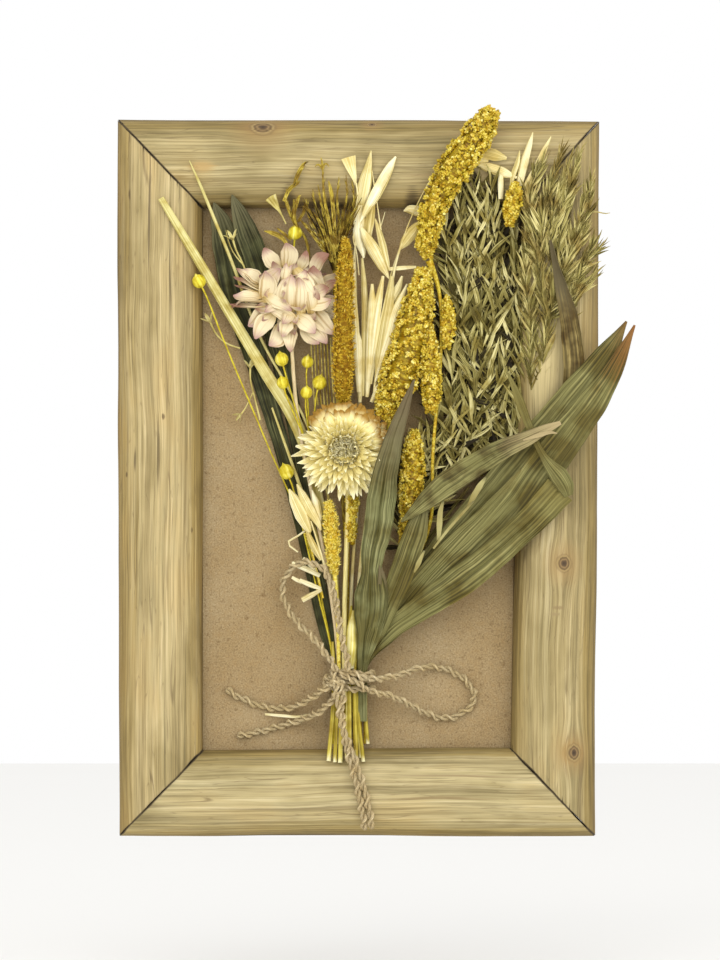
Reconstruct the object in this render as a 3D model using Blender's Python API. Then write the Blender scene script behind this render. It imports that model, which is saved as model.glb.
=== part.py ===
"""A dried-flower picture frame: four mitred half-round poles, a hardboard back and a tied bouquet.

It hangs upright. +Z is up, the face looks along -Y, and the rails' sawn backs lie in the plane Y = 0. The
origin is the middle of the top rail's back. Lengths below are millimetres. A place is (x, depth, z): x to
the right and z up from the middle of the frame, and depth forwards from the wall.
"""

import math

import bmesh
import bpy
from mathutils import Vector

MM = 0.001

# Frame
TOP_LEFT = (-100.0, 148.8)
TOP_RIGHT = (100.0, 148.0)
BOTTOM_RIGHT = (98.4, -148.8)
BOTTOM_LEFT = (-99.2, -148.8)
INNER_TOP_LEFT = (-64.6, 112.0)
INNER_TOP_RIGHT = (67.4, 112.2)
INNER_BOTTOM_RIGHT = (63.4, -112.4)
INNER_BOTTOM_LEFT = (-64.6, -113.4)
CROWN_DEPTH = 20.8
OUTER_SIDE_DEPTH = 9.0
LIP_DEPTH = 7.4
SHOULDER_DEPTH = 5.0
REBATE_WIDTH = 6.0
MITRE_GAP = 0.3
ARC_STEPS = 10
RAIL_STATIONS = 9
BOARD_FRONT = 4.7
BOARD_THICKNESS = 3.0
BOARD_OVERLAP = 4.8
MOUNT_Z = 133.4

# Bouquet
TIE_Z = -84.0
TIE_BOTTOM_Z = -92.0
STEM = 0.95
BLADE = 0.28
BOARD_CUT_Z = -110.5
FRONT_CUT_Z = -117.0
FRONT_CUT_DEPTH = 18.6
COLUMNS = (-10.2, -8.0, -5.8, -3.6, -1.4, 0.8, 3.0)
ROWS = (8.2, 10.5, 12.8, 15.1)
LEAF_COLUMN = 1.9
LEAF_HALF_WIDTH = 1.7

# Twine
TWINE_DIAMETER = 2.6
TWINE_POINT_GAP = 2.1 * TWINE_DIAMETER
TIE_CENTRE = (-3.65, 12.3)
TIE_HALF_WIDTH = 8.15
TIE_HALF_DEPTH = 5.4
TIE_HALF_HEIGHT = 4.6
TIE_TURNS = 3

FACING = Vector((0, -1, 0))


def spot(x, depth, z):
    """The point, in metres from the origin, of a place on the frame."""
    return Vector((x, -depth, z - MOUNT_Z)) * MM


def finish(name, colour, roughness=0.8):
    """A plain matt material for one piece."""
    material = bpy.data.materials.new(name)
    material.use_nodes = True
    shader = material.node_tree.nodes["Principled BSDF"]
    shader.inputs["Base Color"].default_value = (*colour, 1)
    shader.inputs["Roughness"].default_value = roughness
    material.diffuse_color = (*colour, 1)
    return material


def add_object(name, shape, colour):
    """Closes a bmesh as a named object with its own material."""
    bmesh.ops.recalc_face_normals(shape, faces=shape.faces)
    mesh = bpy.data.meshes.new(name)
    shape.to_mesh(mesh)
    shape.free()
    mesh.materials.append(finish(name, colour))
    mesh.shade_smooth()
    mesh.set_sharp_from_angle(angle=math.radians(40))
    piece = bpy.data.objects.new(name, mesh)
    bpy.context.scene.collection.objects.link(piece)
    return piece


def skin(shape, rings, closed=False):
    """Bridges equal rings of points, and caps the two ends unless the rings close on themselves."""
    rows = [[shape.verts.new(point) for point in ring] for ring in rings]
    pairs = list(zip(rows, rows[1:]))
    if closed:
        pairs.append((rows[-1], rows[0]))
    for behind, ahead in pairs:
        for i in range(len(behind)):
            j = (i + 1) % len(behind)
            shape.faces.new((behind[i], behind[j], ahead[j], ahead[i]))
    if not closed:
        shape.faces.new(rows[0])
        shape.faces.new(rows[-1])


def smooth(route, steps):
    """Catmull-Rom stations through a route, with the given number of steps to each gap."""
    stations = []
    for i in range(len(route) - 1):
        before = route[max(i - 1, 0)]
        start, end = route[i], route[i + 1]
        after = route[min(i + 2, len(route) - 1)]
        for step in range(steps):
            t = step / steps
            stations.append(
                tuple(
                    0.5 * (2 * b + (c - a) * t + (2 * a - 5 * b + 4 * c - d) * t**2 + (3 * b - a - 3 * c + d) * t**3)
                    for a, b, c, d in zip(before, start, end, after)
                )
            )
    return stations + [tuple(route[-1])]


def circle(sides):
    return [(math.cos(math.tau * i / sides), math.sin(math.tau * i / sides)) for i in range(sides)]


LEAF_SECTION = [(-1, 0), (-0.5, 1), (0.5, 1), (1, 0), (0.5, -1), (-0.5, -1)]


def sweep(name, route, colour, section, steps=2, bow=0.0):
    """A closed body along (x, depth, z, half width, half depth) stations. bow arches it towards the front."""
    stations = smooth(route, steps)
    centres = [spot(*station[:3]) for station in stations]
    shape = bmesh.new()
    rings = []
    for i, station in enumerate(stations):
        run = centres[min(i + 1, len(centres) - 1)] - centres[max(i - 1, 0)]
        across = FACING.cross(run).normalized()
        front = run.cross(across).normalized()
        half_width, half_depth = (max(size, 0.15) * MM for size in station[3:5])
        rings.append(
            [
                centres[i] + across * a * half_width + front * (b * half_depth + bow * (1 - a * a) * half_width)
                for a, b in section
            ]
        )
    skin(shape, rings)
    return add_object(name, shape, colour)


def stalk(name, route, colour, sides=6, steps=1):
    return sweep(name, route, colour, circle(sides), steps)


def leaf(name, route, colour, bow=0.1, steps=2):
    """A thin blade along (x, depth, z, half width) stations."""
    return sweep(name, [(*station, BLADE) for station in route], colour, LEAF_SECTION, steps, bow)


def tied(column, row, radius=STEM):
    """The stations of a stem through its own place in the tie, down to its cut end."""
    x, depth = COLUMNS[column], ROWS[row]
    if row == len(ROWS) - 1:
        return [
            (x + 0.3 * (x - TIE_CENTRE[0]), FRONT_CUT_DEPTH, FRONT_CUT_Z - 0.3 * column, radius, radius),
            (x, depth, TIE_BOTTOM_Z, radius, radius),
            (x, depth, TIE_Z + 6, radius, radius),
        ]
    return [
        (x, depth, BOARD_CUT_Z, radius, radius),
        (x, depth, TIE_BOTTOM_Z, radius, radius),
        (x, depth, TIE_Z + 6, radius, radius),
    ]


def tied_leaf(depth):
    return [
        (LEAF_COLUMN, depth, TIE_BOTTOM_Z - 9, LEAF_HALF_WIDTH),
        (LEAF_COLUMN, depth, TIE_BOTTOM_Z, LEAF_HALF_WIDTH),
        (LEAF_COLUMN, depth, TIE_Z + 5, LEAF_HALF_WIDTH),
    ]


def join(target, tool):
    """Joins a helper solid into the target, so that the two are one body."""
    union = target.modifiers.new("grown together", "BOOLEAN")
    union.operation = "UNION"
    union.solver = "EXACT"
    union.object = tool
    tool.hide_render = True
    tool.display_type = "WIRE"


# --- Frame ---

def rail_profile(width):
    """The pole's cross-section, as (fraction of the width from the outer edge, depth)."""
    points = [(0.0, 0.0)]
    for step in range(ARC_STEPS + 1):
        angle = math.pi * step / ARC_STEPS
        fraction = 0.5 - 0.5 * math.cos(angle)
        side = OUTER_SIDE_DEPTH + (LIP_DEPTH - OUTER_SIDE_DEPTH) * fraction
        points.append((fraction, side + (CROWN_DEPTH - side) * math.sin(angle)))
    rebate = 1 - REBATE_WIDTH / width
    return points + [(1.0, SHOULDER_DEPTH), (rebate, SHOULDER_DEPTH), (rebate, 0.0)]


def make_rail(name, outer, inner, bow):
    """A pole between two mitres, from its outer and inner edges. Its outer edge wanders by bow."""
    outer = [Vector(corner) for corner in outer]
    inner = [Vector(corner) for corner in inner]
    along = (outer[1] - outer[0]).normalized()
    out = (outer[0] + outer[1] - inner[0] - inner[1]).normalized()
    start, end = along * MITRE_GAP, -along * MITRE_GAP
    profile = rail_profile((outer[0] - inner[0]).dot(out))
    shape = bmesh.new()
    rings = []
    for station in range(RAIL_STATIONS):
        t = station / (RAIL_STATIONS - 1)
        trim = start.lerp(end, t)
        wander = bow * math.sin(math.pi * t) * (0.6 + 0.4 * math.sin(7 * t))
        far = outer[0].lerp(outer[1], t) + trim + out * wander
        near = inner[0].lerp(inner[1], t) + trim
        places = [(far.lerp(near, fraction), depth) for fraction, depth in profile]
        rings.append([spot(place.x, depth, place.y) for place, depth in places])
    skin(shape, rings)
    return add_object(name, shape, (0.53, 0.42, 0.25))


make_top = (TOP_LEFT, TOP_RIGHT), (INNER_TOP_LEFT, INNER_TOP_RIGHT)
make_bottom = (BOTTOM_RIGHT, BOTTOM_LEFT), (INNER_BOTTOM_RIGHT, INNER_BOTTOM_LEFT)
make_left = (BOTTOM_LEFT, TOP_LEFT), (INNER_BOTTOM_LEFT, INNER_TOP_LEFT)
make_right = (TOP_RIGHT, BOTTOM_RIGHT), (INNER_TOP_RIGHT, INNER_BOTTOM_RIGHT)


def make_board():
    """The hardboard panel, which follows the opening and laps under the rails all round."""
    lap = BOARD_OVERLAP
    corners = [
        (INNER_BOTTOM_LEFT[0] - lap, INNER_BOTTOM_LEFT[1] - lap),
        (INNER_BOTTOM_RIGHT[0] + lap, INNER_BOTTOM_RIGHT[1] - lap),
        (INNER_TOP_RIGHT[0] + lap, INNER_TOP_RIGHT[1] + lap),
        (INNER_TOP_LEFT[0] - lap, INNER_TOP_LEFT[1] + lap),
    ]
    shape = bmesh.new()
    back = BOARD_FRONT - BOARD_THICKNESS
    skin(shape, [[spot(x, depth, z) for x, z in corners] for depth in (back, BOARD_FRONT)])
    add_object("back_board", shape, (0.36, 0.23, 0.13))


# --- Flower heads ---

def make_head(name, centre, radius, back, thickness, colour):
    """A half-open everlasting head facing forwards: a shallow cup behind, a dome in front."""
    profile = [
        (0.10, 0.00), (0.45, 0.04), (0.86, 0.15), (1.00, 0.27), (0.90, 0.48), (0.66, 0.78), (0.34, 0.96), (0.06, 1.0)
    ]
    x, z = centre
    shape = bmesh.new()
    rings = []
    for reach, forward in profile:
        depth = back + thickness * forward
        rings.append([spot(x + radius * reach * a, depth, z + radius * reach * b) for a, b in circle(18)])
    skin(shape, rings)
    return add_object(name, shape, colour)


def make_strawflower_pink():
    head = make_head("strawflower_pink", (-28.6, 74.5), 21.8, 11.2, 14.0, (0.72, 0.55, 0.45))
    route = tied(1, 2) + [
        (-11.8, 13.0, -45, 0.9, 0.9),
        (-20.5, 13.3, 0, 0.9, 0.9),
        (-25.4, 13.6, 29, 0.9, 0.9),
        (-27.4, 13.4, 52, 0.9, 0.9),
        (-28.2, 14.6, 66, 0.9, 0.9),
    ]
    join(head, stalk("pink_stem_tool", route, (0.6, 0.5, 0.3)))


def make_strawflower_cream():
    head = make_head("strawflower_cream", (-5.8, 11.4), 20.2, 16.4, 13.2, (0.80, 0.68, 0.33))
    route = tied(2, 3) + [
        (-5.6, 15.6, -55, 1.0, 1.0),
        (-4.9, 15.4, -30, 1.0, 1.0),
        (-4.2, 15.6, -9, 1.0, 1.0),
        (-4.8, 18.6, 4, 1.0, 1.0),
    ]
    join(head, stalk("cream_stem_tool", route, (0.6, 0.5, 0.3)))


# --- Left of the bouquet ---

def make_left_leaves():
    green = (0.10, 0.12, 0.06)
    long_leaf = [
        (COLUMNS[0], ROWS[0], TIE_BOTTOM_Z - 9, 0.9),
        (COLUMNS[0], ROWS[0], TIE_BOTTOM_Z, 0.9),
        (COLUMNS[0], ROWS[0], TIE_Z + 5, 0.9),
        (-14.6, 6.6, -64, 1.6),
        (-22.6, 5.9, -24, 2.6),
        (-30.7, 5.8, 9, 3.2),
        (-37.4, 5.8, 32, 3.6),
        (-44.8, 6.0, 55, 4.0),
        (-51.9, 6.6, 75, 4.0),
        (-56.6, 9.2, 97, 4.0),
        (-58.6, 12.6, 108, 2.8),
        (-59.8, 14.6, 114, 0.6),
    ]
    leaf("leaf_dark_long", long_leaf, green)
    short_leaf = [
        (COLUMNS[1], ROWS[0], TIE_BOTTOM_Z - 9, 0.9),
        (COLUMNS[1], ROWS[0], TIE_BOTTOM_Z, 0.9),
        (COLUMNS[1], ROWS[0], TIE_Z + 5, 0.9),
        (-11.2, 7.6, -64, 1.3),
        (-17.2, 7.1, -34, 2.2),
        (-22.8, 7.0, 3, 3.0),
        (-28.2, 7.0, 32, 3.6),
        (-34.6, 7.2, 61, 4.4),
        (-41.5, 8.4, 89, 4.6),
        (-47.7, 12.2, 106, 4.0),
        (-51.5, 15.6, 113, 2.4),
        (-53.5, 17.4, 116, 0.6),
    ]
    leaf("leaf_dark_short", short_leaf, green)


def make_straws():
    wide = tied(2, 0) + [
        (-7.2, 8.5, -67, 1.1, 0.9),
        (-12.4, 8.8, -35, 1.7, 0.9),
        (-18.5, 9.3, 0, 2.2, 0.9),
        (-25.5, 9.7, 22, 2.4, 0.9),
        (-39.0, 11.0, 44.5, 2.3, 0.9),
        (-52.5, 13.0, 67, 2.0, 0.9),
        (-66.0, 18.2, 89.7, 1.7, 0.9),
        (-75.5, 22.2, 105.5, 1.4, 0.9),
        (-81.5, 23.2, 115.5, 1.2, 0.9),
    ]
    stalk("straw_wide", wide, (0.62, 0.55, 0.12))
    thin = tied(2, 1, 0.6) + [
        (-7.4, 10.5, -60, 0.5, 0.5),
        (-10.6, 10.6, -20, 0.5, 0.5),
        (-14.2, 10.9, 0, 0.5, 0.5),
        (-21.2, 11.2, 22, 0.5, 0.5),
        (-30.6, 10.4, 40, 0.5, 0.5),
        (-39.0, 9.9, 55, 0.5, 0.5),
        (-45.4, 10.2, 70, 0.5, 0.5),
        (-50.8, 12.0, 85.3, 0.5, 0.5),
        (-59.5, 18.0, 107, 0.5, 0.5),
        (-65.6, 21.4, 121.8, 0.5, 0.5),
        (-69.7, 22.2, 131, 0.5, 0.5),
    ]
    stalk("straw_thin", thin, (0.68, 0.60, 0.25), 5)
    green = tied(1, 1, 0.8) + [
        (-10.6, 10.6, -50, 0.7, 0.7),
        (-15.0, 10.8, -31, 0.7, 0.7),
        (-25.4, 12.2, 0, 0.7, 0.7),
        (-35.7, 13.0, 29, 0.5, 0.5),
    ]
    stalk("straw_green", green, (0.40, 0.42, 0.12), 5)


def pod_route(stem, centre, radius):
    """Adds a round pod at the end of a stalk that arrives from the route's last station."""
    last = Vector(stem[-1][:3])
    run = (Vector(centre) - last).normalized()
    bulges = [(-1.0, 0.22), (-0.82, 0.62), (-0.42, 0.92), (0.1, 1.0), (0.6, 0.78), (0.95, 0.25)]
    return stem + [(*(Vector(centre) + run * radius * at), radius * size, radius * size) for at, size in bulges]


def make_flax():
    yellow = (0.70, 0.55, 0.04)
    outer = tied(0, 1, 0.45) + [
        (-13.6, 10.6, -58, 0.35, 0.35),
        (-21.6, 10.9, -24.7, 0.35, 0.35),
        (-38.6, 11.2, 16, 0.35, 0.35),
        (-55.6, 14.2, 56.6, 0.35, 0.35),
        (-63.2, 17.8, 76, 0.35, 0.35),
    ]
    stalk("flax_outer", pod_route(outer, (-65.8, 19.6, 81.2), 2.9), yellow, 7, 1)
    top = [(-31, 9.4, 60, 0.35, 0.35), (-28.5, 9.6, 80, 0.35, 0.35), (-26.6, 11.8, 96, 0.35, 0.35)]
    stalk("flax_top", pod_route(top, (-26.1, 13.4, 101.5), 2.9), yellow, 7, 1)
    low = tied(0, 2, 0.45) + [(-17.4, 13.0, -45, 0.35, 0.35), (-27.4, 14.0, -3, 0.35, 0.35)]
    stalk("flax_low", pod_route(low, (-29.7, 14.4, 2.4), 3.1), yellow, 7, 1)
    pods = [
        ((-31.7, 15.4, 49.0), 2.8),
        ((-21.0, 12.8, 48.0), 2.5),
        ((-31.2, 19.4, 39.2), 2.5),
        ((-16.0, 14.6, 39.4), 3.0),
        ((-21.4, 15.6, 35.2), 2.5),
    ]
    for number, (centre, radius) in enumerate(pods, start=1):
        x, depth, z = centre
        foot = [(-20.6 + 0.2 * (x + 24), min(depth - 0.4, 16.4), 16, 0.35, 0.35)]
        foot.append((x + 0.15 * (-24 - x), depth, z - radius - 1.6, 0.35, 0.35))
        stalk(f"flax_mid_{number}", pod_route(foot, centre, radius), yellow, 7, 1)


def make_husks():
    straw = (0.70, 0.62, 0.20)
    top = [
        (-44.2, 10.2, 79, 0.35, 0.35),
        (-49.2, 12.0, 92, 0.35, 0.35),
        (-51.6, 13.6, 98, 0.7, 0.7),
        (-52.4, 14.2, 101.5, 2.4, 1.6),
        (-52.8, 14.6, 104.2, 1.2, 0.8),
    ]
    stalk("husk_top", top, straw, 6, 1)
    left = [
        (-49.6, 10.2, 52.5, 0.35, 0.35),
        (-54.0, 10.2, 55.0, 0.35, 0.35),
        (-58.0, 10.4, 58.8, 0.35, 0.35),
        (-60.4, 10.8, 63.0, 0.9, 0.9),
        (-61.4, 11.2, 66.2, 2.2, 1.5),
        (-61.6, 11.4, 68.6, 1.0, 0.8),
    ]
    stalk("husk_left", left, straw, 6, 1)
    middle = [
        (-40.6, 9.0, 24.0, 0.35, 0.35),
        (-43.4, 9.0, 34.0, 0.35, 0.35),
        (-45.4, 9.0, 43.0, 0.8, 0.8),
        (-45.8, 9.0, 46.5, 2.2, 1.2),
        (-46.2, 9.0, 49.2, 1.0, 0.7),
    ]
    stalk("husk_mid", middle, straw, 6, 1)


# --- Grasses in the middle ---

def make_grasses():
    gold = (0.45, 0.27, 0.03)
    brown = tied(2, 2, 0.8) + [
        (-5.0, 12.7, -55, 0.7, 0.7),
        (-4.2, 12.4, -10, 0.7, 0.7),
        (-5.8, 13.0, 22, 0.7, 0.7),
        (-6.0, 15.6, 32, 1.2, 1.2),
        (-6.2, 18.6, 37, 3.6, 3.0),
        (-6.2, 20.4, 45, 4.5, 4.0),
        (-5.8, 21.4, 62, 4.4, 4.0),
        (-5.6, 21.4, 78, 4.2, 3.8),
        (-5.6, 20.4, 90, 3.4, 3.0),
        (-5.4, 19.2, 96.5, 2.0, 1.8),
        (-5.4, 18.8, 99, 0.6, 0.6),
    ]
    stalk("spike_brown", brown, gold, 8)
    yellow = tied(1, 3, 0.8) + [
        (-8.6, 15.6, -55, 0.7, 0.7),
        (-9.8, 16.0, -39, 0.8, 0.8),
        (-10.3, 16.6, -34, 2.6, 2.2),
        (-10.5, 17.0, -24, 3.3, 2.8),
        (-10.4, 17.2, -14, 2.6, 2.2),
        (-10.3, 17.2, -10.4, 0.6, 0.6),
    ]
    stalk("spike_yellow", yellow, (0.72, 0.52, 0.03), 8)
    fan = tied(3, 0, 0.8) + [
        (-4.6, 8.4, -40, 0.7, 0.7),
        (-8.0, 8.8, 20, 0.7, 0.7),
        (-9.4, 9.6, 70, 0.9, 0.8),
        (-9.6, 10.8, 90, 2.5, 1.2),
        (-11.0, 13.6, 103, 7.0, 1.3),
        (-12.0, 18.6, 114, 9.0, 1.3),
        (-12.4, 22.4, 124, 8.4, 1.1),
        (-12.6, 22.8, 129.5, 4.0, 0.5),
    ]
    stalk("bristle_grass", fan, (0.42, 0.38, 0.05), 8)
    needles = [
        (-20.0, 9.2, 84, 0.6, 0.5),
        (-21.4, 10.0, 98, 0.8, 0.6),
        (-24.2, 14.6, 109, 1.6, 0.8),
        (-25.6, 18.6, 116, 3.0, 0.8),
        (-27.2, 22.2, 123, 3.2, 0.7),
        (-28.0, 22.4, 128.5, 1.0, 0.5),
    ]
    stalk("needle_sprig", needles, (0.62, 0.55, 0.05), 6)


def make_oats():
    cream = (0.72, 0.62, 0.38)
    left = tied(3, 1, 0.8) + [
        (-2.4, 10.4, -40, 0.7, 0.7),
        (0.4, 10.0, 0, 0.7, 0.7),
        (1.8, 9.8, 28, 1.2, 0.8),
        (1.8, 9.8, 40, 3.2, 1.6),
        (2.0, 9.9, 62, 3.2, 1.7),
        (2.0, 10.2, 88, 3.0, 1.7),
        (2.2, 13.2, 103, 3.2, 1.3),
        (2.2, 18.4, 114, 3.2, 1.1),
        (1.6, 22.6, 125, 3.4, 0.9),
        (0.6, 23.0, 134, 1.6, 0.5),
    ]
    stalk("oat_left", left, cream)
    right = tied(4, 1, 0.8) + [
        (0.6, 10.3, -40, 0.7, 0.7),
        (5.4, 9.8, 0, 0.7, 0.7),
        (8.4, 9.4, 28, 1.2, 0.8),
        (9.8, 9.3, 42, 3.6, 1.5),
        (11.2, 9.3, 62, 4.6, 1.5),
        (12.4, 9.8, 86, 4.6, 1.6),
        (12.6, 13.2, 103, 4.0, 1.3),
        (12.4, 18.6, 115, 3.0, 1.1),
        (13.0, 22.6, 125, 2.2, 0.9),
        (14.4, 23.0, 132.5, 0.7, 0.5),
    ]
    stalk("oat_right", right, cream)
    low = [
        (-13.9, 16.4, -36.5, 0.5, 0.5),
        (-16.8, 17.4, -25, 2.0, 0.7),
        (-21.6, 17.6, -14, 2.6, 0.7),
        (-25.6, 17.6, -5.5, 0.6, 0.5),
    ]
    stalk("oat_low", low, cream)
    stub_left = [(50.0, 22.2, 133.2, 0.8, 0.6), (55.0, 22.2, 132.0, 2.8, 0.9), (64.0, 22.3, 128.0, 0.8, 0.6)]
    stalk("oat_stub_left", stub_left, cream)
    stub_right = [(66.2, 22.3, 121.6, 0.8, 0.7), (69.2, 22.4, 130.0, 2.9, 0.8), (73.4, 22.4, 141.5, 1.8, 0.5)]
    stalk("oat_stub_right", stub_right, cream)


# --- Millet ---

def make_millet():
    grain = (0.60, 0.42, 0.05)
    tall = tied(6, 1, 0.8) + [
        (9.0, 10.8, -60, 0.7, 0.7),
        (22.0, 11.4, -38, 0.7, 0.7),
        (29.6, 14.2, -20, 0.7, 0.7),
        (31.0, 14.6, 10, 0.7, 0.7),
        (34.4, 14.8, 56, 0.7, 0.7),
        (33.4, 14.8, 78, 0.8, 0.8),
        (29.6, 16.2, 88.5, 2.2, 2.0),
        (27.6, 17.6, 94, 4.4, 3.8),
        (30.0, 21.4, 107, 5.0, 4.3),
        (33.0, 24.4, 116, 5.3, 4.6),
        (39.4, 27.0, 128.4, 6.3, 5.2),
        (48.1, 27.2, 141, 5.7, 5.0),
        (53.4, 26.6, 150, 4.0, 3.8),
        (55.6, 26.2, 154, 1.4, 1.4),
    ]
    stalk("millet_tall", tall, grain, 8)
    wide = tied(5, 1, 0.8) + [
        (4.4, 11.6, -58, 0.7, 0.7),
        (9.6, 12.6, -30, 0.7, 0.7),
        (13.6, 13.0, 0, 0.7, 0.7),
        (12.6, 13.0, 19, 1.0, 1.0),
        (13.0, 14.0, 26, 3.0, 2.2),
        (16.6, 17.4, 37, 6.4, 4.6),
        (20.3, 18.4, 49.2, 9.0, 6.0),
        (22.8, 18.4, 61, 8.4, 6.0),
        (25.0, 18.4, 73, 6.6, 5.2),
        (26.0, 18.8, 82, 3.6, 3.6),
        (26.2, 19.4, 85.8, 1.0, 1.0),
    ]
    head = stalk("millet_wide", wide, grain, 8)
    lobe = [
        (30.0, 19.0, 27.5, 1.2, 1.2),
        (30.4, 19.4, 33, 3.4, 3.2),
        (30.0, 19.4, 46, 4.0, 3.8),
        (28.6, 19.2, 57, 3.0, 3.0),
        (26.0, 19.0, 62, 1.0, 1.0),
    ]
    join(head, stalk("millet_lobe_tool", lobe, grain, 8))
    low = tied(4, 2, 0.8) + [
        (4.0, 13.4, -62, 0.7, 0.7),
        (13.2, 13.6, -46, 0.8, 0.8),
        (19.6, 14.0, -36, 1.6, 1.4),
        (21.8, 15.4, -28, 4.2, 3.2),
        (22.2, 16.2, -12, 5.3, 4.2),
        (22.2, 16.2, 6, 5.0, 4.0),
        (21.8, 15.6, 14, 2.6, 2.4),
        (21.8, 15.4, 17.4, 0.8, 0.8),
    ]
    stalk("millet_low", low, grain, 8)
    small = [
        (62.6, 20.8, 104.6, 0.8, 0.8),
        (63.0, 21.8, 108, 3.0, 2.2),
        (63.8, 23.4, 113.5, 3.7, 2.7),
        (64.6, 24.0, 118.6, 2.6, 2.2),
        (65.0, 24.0, 120.8, 0.8, 0.8),
    ]
    stalk("millet_small", small, grain, 8)


# --- Foliage ---

def make_foliage():
    olive = (0.25, 0.25, 0.10)
    low = tied(4, 0, 0.8) + [
        (6.4, 8.4, -60, 0.8, 0.8),
        (15.6, 8.6, -36, 1.6, 1.2),
        (22.4, 9.0, -16, 3.2, 1.5),
        (23.8, 9.2, 4, 3.0, 1.4),
        (25.4, 9.4, 17, 0.8, 0.6),
    ]
    stalk("foliage_low", low, olive, 8)
    inner = tied(5, 0, 0.8) + [
        (10.6, 8.2, -60, 0.8, 0.8),
        (24.0, 8.8, -34, 1.0, 1.0),
        (34.6, 10.0, -8, 5.0, 1.8),
        (40.6, 10.6, 12, 9.2, 2.1),
        (43.0, 10.7, 35, 9.4, 2.2),
        (43.6, 10.8, 60, 9.0, 2.2),
        (46.0, 11.2, 86, 9.0, 2.2),
        (46.6, 14.2, 104, 6.6, 1.5),
        (46.4, 19.0, 115, 4.4, 1.0),
        (47.0, 22.2, 123, 1.6, 0.6),
    ]
    stalk("foliage_inner", inner, olive, 8)
    outer = tied(6, 0, 0.8) + [
        (14.6, 8.2, -60, 0.8, 0.8),
        (31.4, 8.9, -34, 1.0, 1.0),
        (49.0, 10.4, -4, 2.6, 1.6),
        (58.6, 12.2, 18, 5.6, 2.1),
        (59.6, 13.0, 45, 6.0, 2.3),
        (60.6, 13.4, 75, 5.0, 2.3),
        (60.8, 14.2, 93, 4.2, 2.0),
        (60.4, 15.6, 102, 1.2, 0.8),
    ]
    stalk("foliage_outer", outer, olive, 8)
    tuft = [
        (70.6, 22.2, 38, 1.2, 0.7),
        (72.0, 22.6, 50, 6.4, 1.1),
        (73.0, 22.7, 66, 8.6, 1.2),
        (74.6, 22.9, 80, 7.6, 1.2),
        (78.6, 23.4, 95, 9.6, 1.6),
        (82.6, 24.3, 110, 9.6, 2.2),
        (85.4, 24.4, 124, 7.4, 2.0),
        (86.0, 23.8, 133, 2.0, 1.0),
    ]
    stalk("feather_tuft", tuft, (0.20, 0.21, 0.09), 8)
    curl = [
        (79.3, 27.2, 97, 1.4),
        (82.5, 26.4, 85, 1.7),
        (85.9, 25.0, 72, 2.6),
        (89.2, 23.4, 59, 3.9),
        (91.0, 22.4, 47, 3.6),
        (90.6, 22.0, 38, 1.6),
    ]
    leaf("leaf_twisted", curl, (0.24, 0.15, 0.08), 0.1)


# --- Broad leaves ---

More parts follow.
